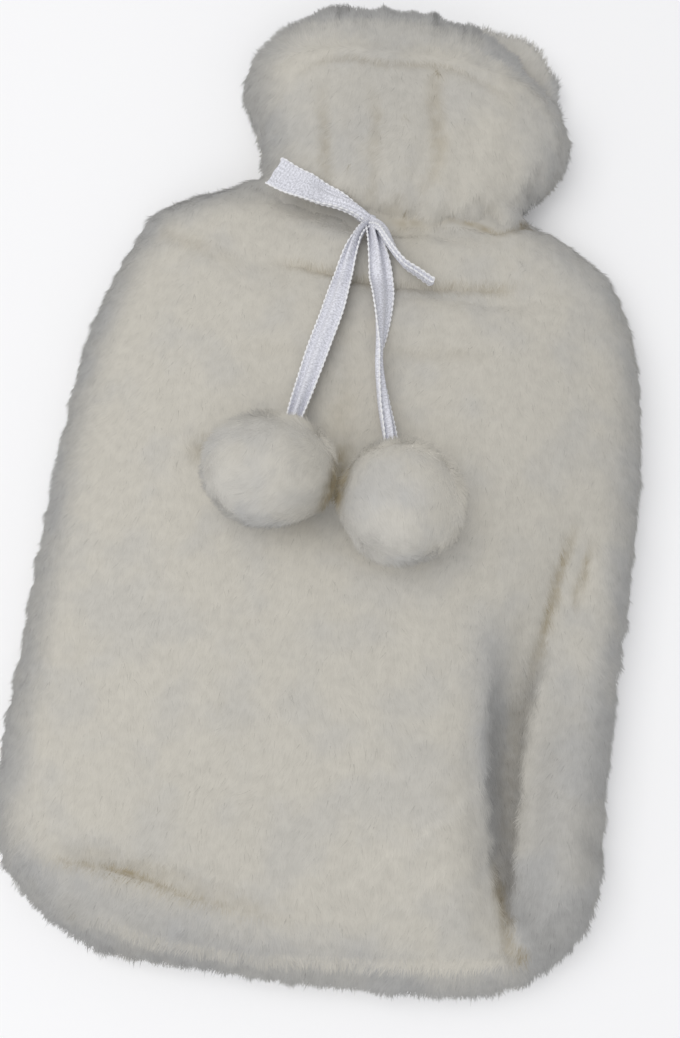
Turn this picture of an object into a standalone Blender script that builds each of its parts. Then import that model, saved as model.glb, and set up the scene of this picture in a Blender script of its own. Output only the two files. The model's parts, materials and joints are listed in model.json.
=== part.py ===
"""Faux-fur cover for a two-litre hot water bottle, lying on its back on a flat surface.

Two fur panels are sewn together round the sides and the bottom. The front bulges over a
hollow, dips into a deep trough on the right and is drawn in at the neck by a satin ribbon
tied in a bow. Above the ribbon the head flares to an open mouth. A fur pompom hangs on
each end of the ribbon.

Units are metres, +Y runs from the bottom seam to the mouth, +Z is up.
"""

import math
from collections import namedtuple
from functools import partial

import bmesh
import bpy
import numpy as np
from mathutils import Matrix, Vector, noise
from mathutils.bvhtree import BVHTree

# Cloth
WALL = 0.0065  # fur fabric with its pile
PARTING = 0.0004  # between pieces that lie against each other
ROLL_WIDTH = 0.010  # the rounded edge along the seam, across
FRONT_ROLL = 0.009  # and its height above the seam, on the front
ROLL_SHARE = 0.55  # most of the front's height that the rounded edge takes up
PILLOW_POWER = 2.6  # the higher, the flatter the front is in the middle
HEM_ROUND = 0.0024  # how far the mouth's hem bulges
RUN_ON = (0.0, 0.030)  # how far the rolled edge runs on past the seam's ends
TINY = 1e-6
PROBE = 0.0002  # how far aside a surface's slope is read

# Rounded bottom corners: how far along the bottom and up the side each one reaches
LEFT_CORNER = (0.058, 0.052)
RIGHT_CORNER = (0.042, 0.040)

# One row for each cross-section, from the bottom seam to the mouth: where the section's
# middle and two ends lie, before the bottom corners are rounded, and the heights of the
# seam, of the front's crown and of the back's underside.
Section = namedtuple(
    "Section", "middle_y left_x left_y right_x right_y seam_z crown_z under_z"
)
SECTIONS = (
    Section(-0.187, -0.1085, -0.184, 0.1060, -0.176, 0.0100, 0.038, 0.0000),
    Section(-0.146, -0.1085, -0.146, 0.1070, -0.142, 0.0100, 0.041, 0.0000),
    Section(-0.088, -0.1085, -0.088, 0.1060, -0.088, 0.0100, 0.043, 0.0000),
    Section(-0.020, -0.1080, -0.020, 0.1080, -0.020, 0.0100, 0.044, 0.0000),
    Section(0.030, -0.1050, 0.032, 0.1060, 0.032, 0.0100, 0.042, 0.0000),
    Section(0.057, -0.0970, 0.064, 0.0985, 0.066, 0.0100, 0.039, 0.0000),
    Section(0.073, -0.0870, 0.086, 0.0845, 0.087, 0.0120, 0.037, 0.0010),
    Section(0.081, -0.0680, 0.0965, 0.0665, 0.0965, 0.0140, 0.034, 0.0035),
    Section(0.087, -0.0495, 0.1030, 0.0510, 0.1025, 0.0160, 0.033, 0.0060),
    Section(0.098, -0.0500, 0.109, 0.0550, 0.108, 0.0150, 0.036, 0.0040),
    Section(0.121, -0.0540, 0.120, 0.0640, 0.119, 0.0130, 0.039, 0.0010),
    Section(0.145, -0.0590, 0.132, 0.0680, 0.129, 0.0120, 0.038, 0.0000),
    Section(0.166, -0.0630, 0.141, 0.0684, 0.135, 0.0120, 0.032, 0.0000),
    Section(0.178, -0.0635, 0.146, 0.0688, 0.139, 0.0120, 0.025, 0.0000),
)
BOTTOM_Y, NECK_Y, MOUTH_Y = SECTIONS[0].middle_y, 0.087, SECTIONS[-1].middle_y

# How squarely the sections bend towards their left and right ends
SECTION_POWER = 2.5
Lip = namedtuple("Lip", "left_power right_power longer")
FRONT_LIP = Lip(4.0, 2.0, 0.000)
BACK_LIP = Lip(4.0, 5.0, 0.006)

# The back's right corner curls up past the front's lip, from a start in x and y
TAB_LIFT = 0.009
TAB_START = (0.026, 0.152)
TAB_RUN = 0.024
FOLD_FADE = 0.016  # folds run out this near the seam
LEAST_HOLLOW = 0.0006  # the cloth's inside stays this far off the seam's plane

# Folds pressed into the front. Each has its depth, its half-width on the near side (the
# left of its path, seen along it) and on the far side, and a path of places (x, y, share of
# the depth). The deep ones also push the inside of the cloth in.
Fold = namedtuple("Fold", "depth near far path")
DEEP_FOLDS = {
    "trough": Fold(0.0175, 0.021, 0.016, (
        (0.088, -0.006, 0.00), (0.084, -0.022, 0.16), (0.080, -0.042, 0.36),
        (0.075, -0.066, 0.68), (0.071, -0.090, 1.00), (0.070, -0.118, 1.00),
        (0.071, -0.140, 0.85), (0.075, -0.158, 0.50), (0.078, -0.172, 0.00),
    )),
    "pompom dent": Fold(0.0030, 0.024, 0.024, (
        (-0.034, -0.019, 1.00), (0.022, -0.025, 1.00),
    )),
}
CREASES = {
    "lower left": Fold(0.0060, 0.007, 0.011, (
        (-0.092, -0.152, 0.00), (-0.073, -0.155, 0.75), (-0.056, -0.157, 1.00),
        (-0.030, -0.161, 0.75), (-0.008, -0.165, 0.40), (0.018, -0.171, 0.00),
    )),
    "under the neck": Fold(0.0034, 0.007, 0.007, (
        (-0.062, 0.068, 0.00), (-0.032, 0.063, 0.65), (0.005, 0.061, 1.00),
        (0.038, 0.062, 1.00), (0.064, 0.067, 0.55), (0.084, 0.074, 0.00),
    )),
    "left shoulder": Fold(0.0018, 0.008, 0.008, (
        (-0.086, 0.078, 0.00), (-0.070, 0.076, 1.00), (-0.048, 0.069, 0.00),
    )),
    "cinch": Fold(0.0060, 0.008, 0.008, (
        (-0.0505, 0.1030, 1.00), (-0.030, 0.0900, 1.00), (0.000, 0.087, 1.00),
        (0.030, 0.0900, 1.00), (0.0520, 0.1025, 1.00),
    )),
    "under the knot": Fold(0.0030, 0.010, 0.010, (
        (-0.010, 0.086, 1.00), (-0.002, 0.086, 1.00),
    )),
}

# Gathers fan out from the ribbon: x at the ribbon and at the far end, and the depth
Gather = namedtuple("Gather", "ribbon_x far_x far_y depth")
GATHERS = (
    Gather(-0.038, -0.044, 0.134, 0.0018),
    Gather(-0.023, -0.028, 0.154, 0.0026),
    Gather(-0.008, -0.010, 0.144, 0.0018),
    Gather(0.010, 0.016, 0.159, 0.0024),
    Gather(0.024, 0.032, 0.149, 0.0020),
    Gather(0.038, 0.050, 0.132, 0.0016),
    Gather(-0.026, -0.036, 0.067, 0.0014),
    Gather(0.020, 0.030, 0.065, 0.0014),
)
GATHER_HALF_WIDTH = 0.006
GATHER_START = 0.004  # how far from the ribbon's line they begin

# Rows of cloth points from the bottom seam to the mouth: each band's top and its step
Band = namedtuple("Band", "top_y step")
FRONT_BANDS = (
    Band(-0.144, 0.0055), Band(0.048, 0.0108), Band(0.106, 0.0042), Band(MOUTH_Y, 0.0075)
)
BACK_BANDS = (
    Band(-0.144, 0.0120), Band(0.048, 0.0250), Band(0.106, 0.0042), Band(MOUTH_Y, 0.0075)
)
FRONT_COLUMNS, BACK_COLUMNS = 21, 16
EDGE_STEPS = (0.0, 0.0011, 0.0044, ROLL_WIDTH)  # close steps round the seam's roll

# Ribbon
RIBBON_WIDTH = 0.012
RIBBON_THICK = 0.0010
BAND_HALF = (0.0020, 0.0011)  # the ribbon bunched round the neck, half its width and depth
BAND_GAP = 0.0009  # between the bunched ribbon and the cloth
BAND_SIDES, BAND_STEPS = 6, 40
NECK_HALF_HEIGHT, NECK_REACH = 0.012, 0.020  # the neck's rough section, and a way outside it
KNOT = (-0.0060, 0.0855)
KNOT_SIZE = (0.0085, 0.0080, 0.0070)
KNOT_LIFT = 0.0069  # the knot's centre over the cloth
KNOT_ROUND = 0.0024
# Places along each piece of ribbon: x, y, the lift of its middle over the cloth, how far
# it is rolled about its length in degrees, and the share of the ribbon's width that shows
Place = namedtuple("Place", "x y lift roll width")
AT_KNOT = Place(*KNOT, KNOT_LIFT, 0, 0.40)
LEFT_TAIL = (
    AT_KNOT,
    Place(-0.0080, 0.0785, 0.0043, -20, 0.50),
    Place(-0.0100, 0.0710, 0.0036, -24, 0.65),
    Place(-0.0125, 0.0600, 0.0036, -22, 0.85),
    Place(-0.0150, 0.0440, 0.0032, -14, 0.95),
    Place(-0.0178, 0.0240, 0.0034, 8, 1.00),
    Place(-0.0195, 0.0100, 0.0046, 22, 0.75),
)
RIGHT_TAIL = (
    AT_KNOT,
    Place(-0.0044, 0.0785, 0.0043, 14, 0.50),
    Place(-0.0022, 0.0710, 0.0036, 18, 0.65),
    Place(0.0010, 0.0600, 0.0034, 10, 0.85),
    Place(0.0040, 0.0430, 0.0046, 34, 0.90),
    Place(0.0060, 0.0270, 0.0066, 62, 0.95),
    Place(0.0085, 0.0120, 0.0060, 52, 0.80),
)
# A loop runs out along its places and back above or beside itself: the gap between its two
# runs swells to the given width half-way
Loop = namedtuple("Loop", "gap places")
LEFT_LOOP = Loop(0.0065, (
    AT_KNOT,
    Place(-0.0180, 0.0870, 0.0090, -6, 0.72),
    Place(-0.0300, 0.0900, 0.0120, -10, 0.96),
    Place(-0.0405, 0.0930, 0.0130, -12, 1.00),
))
RIGHT_LOOP = Loop(0.0070, (
    Place(*KNOT, KNOT_LIFT, 30, 0.40),
    Place(0.0005, 0.0760, 0.0072, 52, 0.75),
    Place(0.0090, 0.0675, 0.0080, 58, 0.95),
    Place(0.0180, 0.0615, 0.0070, 62, 0.90),
))
LOOP_TIP = 0.0018  # half the gap left inside the fold at a loop's far end
TAIL_END_WIDTH = 0.45  # the share of the ribbon's width that goes into a pompom
STRIP_STEP = 0.0050

# Pompoms: centre seen from above, half-sizes, how lumpy, and where the ribbon goes in (a direction)
Pompom = namedtuple("Pompom", "name centre half lump seed ribbon_from")
POMPOMS = (
    Pompom("pompom_left", (-0.0262, -0.0210), (0.0243, 0.0200, 0.0185),
           0.0010, (3.1, 0.4, 7.7), (0.30, 0.88, -0.30)),
    Pompom("pompom_right", (0.0178, -0.0255), (0.0230, 0.0212, 0.0190),
           0.0010, (8.3, 5.2, 1.9), (-0.30, 0.90, -0.25)),
)
POMPOM_SEAT = 0.92  # the centre's height over the cloth, as a share of the half-height
LUMP_PITCH = 0.014
SEAT_GAP = 0.0005  # between a pompom and what it lies against

# Colours as they look in soft light, and roughness
CREAM_FUR = ((0.80, 0.77, 0.69), 0.95)
BACK_FUR = ((0.77, 0.74, 0.67), 0.95)
POMPOM_FUR = ((0.79, 0.77, 0.72), 0.95)
WHITE_SATIN = ((0.86, 0.86, 0.89), 0.35)


def clear_scene():
    """Remove whatever the new file came with."""
    for obj in list(bpy.data.objects):
        bpy.data.objects.remove(obj)


def plain_material(name, colour, roughness):
    """A Principled material of one colour."""
    material = bpy.data.materials.new(name)
    material.use_nodes = True
    shader = material.node_tree.nodes["Principled BSDF"]
    shader.inputs["Base Color"].default_value = (*colour, 1)
    shader.inputs["Roughness"].default_value = roughness
    shader.inputs["Metallic"].default_value = 0
    return material


def finish(name, bm, finish_values):
    """Turn a bmesh into a smooth-shaded object with its own material."""
    bmesh.ops.recalc_face_normals(bm, faces=bm.faces[:])
    mesh = bpy.data.meshes.new(name)
    bm.to_mesh(mesh)
    bm.free()
    mesh.shade_smooth()
    mesh.materials.append(plain_material(name, *finish_values))
    obj = bpy.data.objects.new(name, mesh)
    bpy.context.scene.collection.objects.link(obj)
    return obj


def through(xs, ys, at):
    """A smooth curve through the points that doesn't overshoot them, read at the places."""
    xs, ys, at = np.asarray(xs), np.asarray(ys), np.asarray(at)
    steps = np.diff(xs)
    slopes = np.diff(ys) / steps
    product, total = slopes[:-1] * slopes[1:], slopes[:-1] + slopes[1:]
    tangents = np.concatenate([slopes[:1], np.zeros(len(xs) - 2), slopes[-1:]])
    same_way = product > 0
    tangents[1:-1][same_way] = 2 * product[same_way] / total[same_way]
    i = np.clip(np.searchsorted(xs, at) - 1, 0, len(xs) - 2)
    t = (at - xs[i]) / steps[i]
    return (
        (1 + 2 * t) * (1 - t) ** 2 * ys[i]
        + t * (1 - t) ** 2 * steps[i] * tangents[i]
        + t**2 * (3 - 2 * t) * ys[i + 1]
        + t**2 * (t - 1) * steps[i] * tangents[i + 1]
    )


def smooth_step(value):
    """From 0 to 1 with soft ends, as value goes from 0 to 1."""
    value = np.clip(value, 0, 1)
    return value * value * (3 - 2 * value)


def unit(vectors):
    """The vectors at length 1."""
    return vectors / np.linalg.norm(vectors, axis=-1, keepdims=True)


def rows_between(bands):
    """The middle_y of each row of cloth points."""
    rows = [BOTTOM_Y + step for step in EDGE_STEPS]
    for band in bands:
        count = math.ceil((band.top_y - rows[-1]) / band.step)
        rows.extend(np.linspace(rows[-1], band.top_y, count + 1)[1:])
    return np.array(rows)


def corner_cut(rise, corner):
    """How far a rounded bottom corner draws the seam in, at a rise above the bottom."""
    reach, height = corner
    t = np.clip(1 - rise / height, 0, 1)
    return reach * (1 - np.sqrt(1 - t * t))


def column(name, rows):
    """One column of the table of sections, read at each row."""
    middles = [section.middle_y for section in SECTIONS]
    return through(middles, [getattr(section, name) for section in SECTIONS], rows)


def plan(rows, columns, lip):
    """Where the cloth's points lie seen from above: arrays of x and y, rows by columns."""
    rise = rows - BOTTOM_Y
    full_left, full_right = column("left_x", rows), column("right_x", rows)
    left = full_left + corner_cut(rise, LEFT_CORNER)
    right = full_right - corner_cut(rise, RIGHT_CORNER)
    steps = np.array(EDGE_STEPS)
    inside = np.linspace(0, 1, columns + 1)[1:-1]
    between = left[:, None] + ROLL_WIDTH
    between = between + (right - left - 2 * ROLL_WIDTH)[:, None] * inside
    x = np.hstack([left[:, None] + steps, between, right[:, None] - steps[::-1]])
    u = (2 * x - (full_left + full_right)[:, None]) / (full_right - full_left)[:, None]
    towards_mouth = smooth_step((rows - NECK_Y) / (MOUTH_Y - NECK_Y))[:, None]
    end_power = np.where(u < 0, lip.left_power, lip.right_power)
    power = SECTION_POWER + (end_power - SECTION_POWER) * towards_mouth
    end = np.where(u < 0, column("left_y", rows)[:, None], column("right_y", rows)[:, None])
    middle = rows[:, None] + lip.longer * towards_mouth
    return x, middle + (end - middle) * np.abs(u) ** power


def distance_to(path, x, y):
    """Distance from each point to the path, the place along it as a segment and a share
    of it, and 1 or -1 for the left or the right of the path."""
    path = np.asarray(path)
    start, run = path[:-1], np.diff(path, axis=0)
    dx = x[..., None] - start[:, 0]
    dy = y[..., None] - start[:, 1]
    share = (dx * run[:, 0] + dy * run[:, 1]) / (run**2).sum(1)
    share = np.clip(share, 0, 1)
    away = np.hypot(dx - share * run[:, 0], dy - share * run[:, 1])
    nearest = away.argmin(-1)
    pick = nearest[..., None]
    side = np.sign(run[:, 0] * dy - run[:, 1] * dx)
    return (
        np.take_along_axis(away, pick, -1)[..., 0],
        nearest,
        np.take_along_axis(share, pick, -1)[..., 0],
        np.take_along_axis(side, pick, -1)[..., 0],
    )


def fold_depth(fold, x, y):
    """How far a fold presses the cloth down at each point."""
    path = np.array(fold.path)
    away, segment, share, side = distance_to(path[:, :2], x, y)
    strength = path[segment, 2] * (1 - share) + path[segment + 1, 2] * share
    half_width = np.where(side > 0, fold.near, fold.far)
    return fold.depth * strength * smooth_step(1 - away / half_width)


def gather_folds():
    """Each gather as a fold that starts at the ribbon and fades out."""
    for gather in GATHERS:
        start_y = NECK_Y + math.copysign(GATHER_START, gather.far_y - NECK_Y)
        path = ((gather.ribbon_x, start_y, 1.0), (gather.far_x, gather.far_y, 0.0))
        yield Fold(gather.depth, GATHER_HALF_WIDTH, GATHER_HALF_WIDTH, path)


def seam_line(x, y):
    """The seam seen from above, from the mouth's left end round the bottom to its right,
    run on past the mouth, so that the rolled edges of the lips carry on from the seam's."""
    left = np.stack([x[::-1, 0], y[::-1, 0]], 1)
    bottom = np.stack([x[0, 1:-1], y[0, 1:-1]], 1)
    right = np.stack([x[:, -1], y[:, -1]], 1)
    return np.vstack([left[0] + RUN_ON, left, bottom, right, right[-1] + RUN_ON])


def front_height(rows, seam_points, x, y, creased):
    """The heights of the front's outer surface, with or without its small creases."""
    seam, crown = column("seam_z", rows)[:, None], column("crown_z", rows)[:, None]
    in_from_seam = distance_to(seam_points, x, y)[0]
    half_width = (column("right_x", rows) - column("left_x", rows))[:, None] / 2
    roll = np.minimum(FRONT_ROLL, ROLL_SHARE * (crown - seam))
    edge = 1 - np.clip(in_from_seam / ROLL_WIDTH, 0, 1)
    pillow = 1 - (1 - np.clip(in_from_seam / half_width, 0, 1)) ** PILLOW_POWER
    z = seam + PARTING / 2 + roll * np.sqrt(1 - edge * edge)
    z = z + (crown - seam - roll) * pillow
    folds = list(DEEP_FOLDS.values())
    if creased:
        folds += [*CREASES.values(), *gather_folds()]
    for fold in folds:
        z = z - fold_depth(fold, x, y) * smooth_step(in_from_seam / FOLD_FADE)
    return z


def back_height(rows, seam_points, x, y):
    """The heights of the back's outer surface, flat underneath, before its right corner is
    curled up."""
    seam, under = column("seam_z", rows)[:, None], column("under_z", rows)[:, None]
    in_from_seam = distance_to(seam_points, x, y)[0]
    edge = 1 - np.clip(in_from_seam / ROLL_WIDTH, 0, 1)
    return seam - PARTING / 2 - (seam - PARTING / 2 - under) * np.sqrt(1 - edge * edge)


def tab_lift(x, y):
    """How far the back's right corner is lifted at each point."""
    from_left, from_neck = (x - TAB_START[0]) / TAB_RUN, (y - TAB_START[1]) / TAB_RUN
    return TAB_LIFT * smooth_step(from_left) * smooth_step(from_neck)


def level_out(edge):
    """The level direction out of the cloth along an edge that keeps it on the left."""
    return unit(np.stack([edge[:, 1], -edge[:, 0], np.zeros(len(edge))], 1))


def cloth_normal(height_of, x, y, upward):
    """The direction out of the cloth at each point, level along the seam."""
    slope_x = (height_of(x + PROBE, y) - height_of(x - PROBE, y)) / (2 * PROBE)
    slope_y = (height_of(x, y + PROBE) - height_of(x, y - PROBE)) / (2 * PROBE)
    normal = unit(np.stack([-slope_x, -slope_y, np.ones_like(x)], -1)) * (1 if upward else -1)
    plan_points = np.stack([x, y], -1)
    across, along = np.gradient(plan_points, axis=1), np.gradient(plan_points, axis=0)
    bottom, left, right = (level_out(edge) for edge in (across[0], -along[:, 0], along[:, -1]))
    normal[0], normal[:, 0], normal[:, -1] = bottom, left, right
    normal[0, 0] = unit(bottom[0] + left[0])
    normal[0, -1] = unit(bottom[-1] + right[0])
    return normal


def inner_surface(outer, normal, seam, upward):
    """The outer surface moved in by the wall, and kept on its own side of the seam."""
    inner = outer - WALL * normal
    sign = 1 if upward else -1
    height = (inner[..., 2] - seam) * sign
    height[1:, 1:-1] = np.maximum(height[1:, 1:-1], PARTING / 2 + LEAST_HOLLOW)
    inner[..., 2] = seam + height * sign
    return inner


def hem_direction(outer, inner):
    """The way the last row's edge faces, out of the cloth and level. It shrinks to nothing
    at the row's ends, where the cloth stands on its edge."""
    row, wall = unit(np.gradient(outer[-1], axis=0)), unit(inner[-1] - outer[-1])
    facing = np.cross(row, wall) * (1, 1, 0)
    forward = (facing * (outer[-1] - outer[-2])).sum()
    return facing * np.sign(forward)


def slab(outer, inner, hem=0.0):
    """A closed wall between two sheets of points. Its last row's edge bulges by the hem.
    The wall starts as a flat box, with the outer sheet at 0 and the inner one at 1."""
    rows, columns = outer.shape[:2]
    last = 1 - TINY
    bm = bmesh.new()
    bmesh.ops.create_grid(bm, x_segments=columns - 1, y_segments=rows - 1, size=1)
    made = bmesh.ops.extrude_face_region(bm, geom=bm.faces[:], use_keep_orig=True)
    lifted = [item for item in made["geom"] if isinstance(item, bmesh.types.BMVert)]
    bmesh.ops.translate(bm, verts=lifted, vec=(0, 0, 1))
    if hem:
        across_wall = [
            edge for edge in bm.edges
            if all(v.co.y > last and abs(v.co.x) < last for v in edge.verts)
            and edge.verts[0].co.z != edge.verts[1].co.z
        ]
        bmesh.ops.subdivide_edges(bm, edges=across_wall, cuts=1)
    bulge = hem * hem_direction(outer, inner)
    for vert in bm.verts:
        row = round((vert.co.y + 1) / 2 * (rows - 1))
        place = round((vert.co.x + 1) / 2 * (columns - 1))
        point = outer[row, place] * (1 - vert.co.z) + inner[row, place] * vert.co.z
        if 0 < vert.co.z < 1:
            point = point + bulge[place]
        vert.co = point
    return bm


def make_panels():
    """The two fur panels."""
    rows = rows_between(FRONT_BANDS)
    x, y = plan(rows, FRONT_COLUMNS, FRONT_LIP)
    shape = partial(front_height, rows, seam_line(x, y))
    uncreased = partial(shape, creased=False)
    normal = cloth_normal(uncreased, x, y, True)
    outer = np.stack([x, y, uncreased(x, y)], -1)
    inner = inner_surface(outer, normal, column("seam_z", rows)[:, None], True)
    outer[..., 2] = shape(x, y, creased=True)
    front = slab(outer, inner, HEM_ROUND)
    rows = rows_between(BACK_BANDS)
    x, y = plan(rows, BACK_COLUMNS, BACK_LIP)
    shape = partial(back_height, rows, seam_line(x, y))
    outer = np.stack([x, y, shape(x, y)], -1)
    normal = cloth_normal(shape, x, y, False)
    inner = inner_surface(outer, normal, column("seam_z", rows)[:, None], False)
    for sheet in (outer, inner):
        sheet[..., 2] += tab_lift(x, y)
    back = slab(outer, inner, HEM_ROUND)
    return finish("front_panel", front, CREAM_FUR), finish("back_panel", back, BACK_FUR)


def tree_of(obj):
    """The object's surface, to measure against."""
    bm = bmesh.new()
    bm.from_mesh(obj.data)
    tree = BVHTree.FromBMesh(bm)
    bm.free()
    return tree


def height_at(tree, x, y):
    """The height of the cloth's top at a place."""
    hit = tree.ray_cast(Vector((x, y, 1)), Vector((0, 0, -1)))[0]
    return hit.z


def pompom_centre(pompom, front):
    """A pompom's centre, seated on the cloth under it."""
    x, y = pompom.centre
    return Vector((x, y, height_at(front, x, y) + POMPOM_SEAT * pompom.half[2]))


def make_pompom(pompom, other, front):
    """A lumpy ball, pressed flat where it lies on the cloth and where it meets its twin."""
    centre, towards = pompom_centre(pompom, front), pompom_centre(other, front)
    halfway, line = (centre + towards) / 2, (towards - centre).normalized()
    bm = bmesh.new()
    bmesh.ops.create_icosphere(bm, subdivisions=3, radius=1)
    for vert in bm.verts:
        way = vert.co.normalized()
        point = Vector(h * w for h, w in zip(pompom.half, way))
        lump = noise.noise(point / LUMP_PITCH + Vector(pompom.seed))
        point = centre + point + way * lump * 2 * pompom.lump
        past = (point - halfway).dot(line) + SEAT_GAP / 2
        point -= line * max(past, 0)
        floor = height_at(front, point.x, point.y) + SEAT_GAP
        point.z = max(point.z, floor)
        vert.co = point
    return finish(pompom.name, bm, POMPOM_FUR)


def smooth_places(places):
    """Places read at close even steps along their route: arrays of x, y, lift, roll, width."""
    table = np.array(places)
    along = np.concatenate([[0], np.cumsum(np.hypot(*np.diff(table[:, :2], axis=0).T))])
    count = max(3, math.ceil(along[-1] / STRIP_STEP))
    at = np.linspace(0, along[-1], count + 1)
    return np.stack([through(along, table[:, i], at) for i in range(table.shape[1])], 1)


def strip_frames(places, front):
    """Middle points of a strip over the cloth, and the direction across it at each."""
    x, y, lift, roll, width = places.T
    ground = np.array([height_at(front, *place) for place in zip(x, y)])
    middle = np.stack([x, y, ground + lift], 1)
    run = np.gradient(middle, axis=0)
    sideways = unit(np.stack([run[:, 1], -run[:, 0], np.zeros(len(run))], 1))
    upwards = unit(np.cross(sideways, run))
    roll = np.radians(roll)[:, None]
    across = sideways * np.cos(roll) + upwards * np.sin(roll)
    return middle, across, width * RIBBON_WIDTH


def strip(middle, across, width):
    """A flat length of ribbon with its true thickness."""
    half = (across * width[:, None] / 2)[:, None]
    sheet = middle[:, None] + half * np.array([-1, 0, 1])[:, None]
    run = np.gradient(middle, axis=0)
    facing = unit(np.cross(across, run))[:, None] * RIBBON_THICK / 2
    return slab(sheet + facing, sheet - facing)


def tail(places, pompom_tree, centre, ribbon_from, front):
    """A ribbon's end, from the knot to the pompom that hangs on it."""
    aim = Vector(ribbon_from).normalized()
    surface = pompom_tree.ray_cast(centre + aim, -aim)[0]
    end = surface + aim * (SEAT_GAP + RIBBON_THICK / 2)
    lift = end.z - height_at(front, end.x, end.y)
    places = (*places, Place(end.x, end.y, lift, places[-1].roll / 2, TAIL_END_WIDTH))
    return strip(*strip_frames(smooth_places(places), front))


def loop(shape, front):
    """A bow's loop: out from the knot, round a fold and back beside itself."""
    middle, across, width = strip_frames(smooth_places(shape.places), front)
    run = np.gradient(middle, axis=0)
    apart = unit(np.cross(across, run))
    t = np.linspace(0, 1, len(middle))
    swell = np.sin(np.pi * t)[:, None]
    half_gap = LOOP_TIP + (shape.gap / 2 - LOOP_TIP) * swell
    out, back = middle - apart * half_gap, middle + apart * half_gap
    turn = middle[-1] + unit(run[-1]) * LOOP_TIP
    middle = np.vstack([out, turn, back[::-1]])
    across = np.vstack([across, across[-1:], across[::-1]])
    width = np.concatenate([width, width[-1:], width[::-1]])
    return strip(middle, across, width)


def neck_band(front, back):
    """The ribbon bunched round the neck, in the crease that it draws the cloth into."""
    crease = np.array(CREASES["cinch"].path)[:, :2]
    half_wide, half_high = (crease[-1, 0] - crease[0, 0]) / 2, NECK_HALF_HEIGHT
    seam = float(column("seam_z", NECK_Y))
    route = []
    for angle in np.linspace(0, 2 * np.pi, BAND_STEPS + 1):
        x = half_wide * math.cos(angle)
        y = float(through(crease[:, 0], crease[:, 1], x))
        way = Vector((math.cos(angle) / half_wide, 0, math.sin(angle) / half_high)).normalized()
        start = Vector((x, y, seam + half_high * math.sin(angle))) + way * NECK_REACH
        reached = 0
        for aside in (-BAND_HALF[0], 0, BAND_HALF[0]):
            for tree in (front, back):
                distance = tree.ray_cast(start + Vector((0, aside, 0)), -way)[3]
                reached = max(reached, NECK_REACH - (distance or NECK_REACH))
        route.append(start + way * (reached - NECK_REACH + BAND_GAP + BAND_HALF[1]))
    route = np.array(route)
    run = np.gradient(route[:, ::2], axis=0)
    run[0] = run[-1] = route[1, ::2] - route[-2, ::2]
    outward = unit(np.stack([run[:, 1], -run[:, 0]], 1))
    turn = np.linspace(0, 2 * np.pi, BAND_SIDES + 1)
    ring_y, ring_out = BAND_HALF[0] * np.cos(turn), BAND_HALF[1] * np.sin(turn)
    points = np.repeat(route[:, None], len(turn), axis=1)
    points[..., 1] += ring_y
    points[..., 0] += ring_out * outward[:, :1]
    points[..., 2] += ring_out * outward[:, 1:]
    bm = bmesh.new()
    bmesh.ops.create_grid(
        bm, x_segments=len(turn) - 1, y_segments=len(route) - 1, size=1
    )
    for vert in bm.verts:
        row = round((vert.co.y + 1) / 2 * (len(route) - 1))
        vert.co = points[row, round((vert.co.x + 1) / 2 * (len(turn) - 1))]
    bmesh.ops.remove_doubles(bm, verts=bm.verts[:], dist=TINY)
    return bm


def make_knot(front):
    """The bow's knot, a rounded lump across the neck band."""
    bm = bmesh.new()
    bmesh.ops.create_cube(bm, size=1)
    bmesh.ops.scale(bm, verts=bm.verts[:], vec=KNOT_SIZE)
    bmesh.ops.bevel(
        bm, geom=bm.edges[:], offset=KNOT_ROUND, segments=3, profile=0.5, affect="EDGES",
        material=-1,
    )
    centre = (*KNOT, height_at(front, *KNOT) + KNOT_LIFT)
    bmesh.ops.translate(bm, verts=bm.verts[:], vec=centre)
    return finish("ribbon_tie", bm, WHITE_SATIN)


def make_ribbon(front, back, pompoms):
    """The whole ribbon as one piece: neck band, knot, two loops and two tails."""
    knot = make_knot(front)
    pieces = bpy.data.collections.new("ribbon pieces")
    bpy.context.scene.collection.children.link(pieces)
    shapes = {
        "ribbon band": neck_band(front, back),
        "ribbon left loop": loop(LEFT_LOOP, front),
        "ribbon right loop": loop(RIGHT_LOOP, front),
    }
    for places, pompom, obj in zip((LEFT_TAIL, RIGHT_TAIL), POMPOMS, pompoms):
        centre = pompom_centre(pompom, front)
        shape = tail(places, tree_of(obj), centre, pompom.ribbon_from, front)
        shapes[f"tail of {pompom.name}"] = shape
    for name, bm in shapes.items():
        piece = finish(name, bm, WHITE_SATIN)
        bpy.context.scene.collection.objects.unlink(piece)
        pieces.objects.link(piece)
        piece.hide_render = True
        piece.display_type = "WIRE"
    union = knot.modifiers.new("one ribbon", "BOOLEAN")
    union.operation = "UNION"
    union.solver = "EXACT"
    union.operand_type = "COLLECTION"
    union.collection = pieces
    return knot


def centre_on_origin():
    """Stand the whole cover on the floor, centred on the origin seen from above."""
    parts = [obj for obj in bpy.data.objects if obj.type == "MESH"]
    corners = np.array([v.co for obj in parts for v in obj.data.vertices])
    low, high = corners.min(0), corners.max(0)
    shift = Matrix.Translation((-(low[0] + high[0]) / 2, -(low[1] + high[1]) / 2, -low[2]))
    for obj in parts:
        obj.data.transform(shift)


def main():
    clear_scene()
    front, back = (tree_of(panel) for panel in make_panels())
    left, right = POMPOMS
    pompoms = [make_pompom(left, right, front), make_pompom(right, left, front)]
    make_ribbon(front, back, pompoms)
    centre_on_origin()


main()
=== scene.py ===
"""Looks for a faux-fur hot water bottle cover that lies on its back.

Each fur panel is a skin of cloth on its solid's folds, with small creases pressed in and
combed locks of pile grown on it. A satin ribbon with beaded edges draws in the neck and
ends in two fur pompoms. Units are metres, +Y runs from the bottom seam to the mouth.
"""

import json
import math
from collections import namedtuple
from functools import partial

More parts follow.
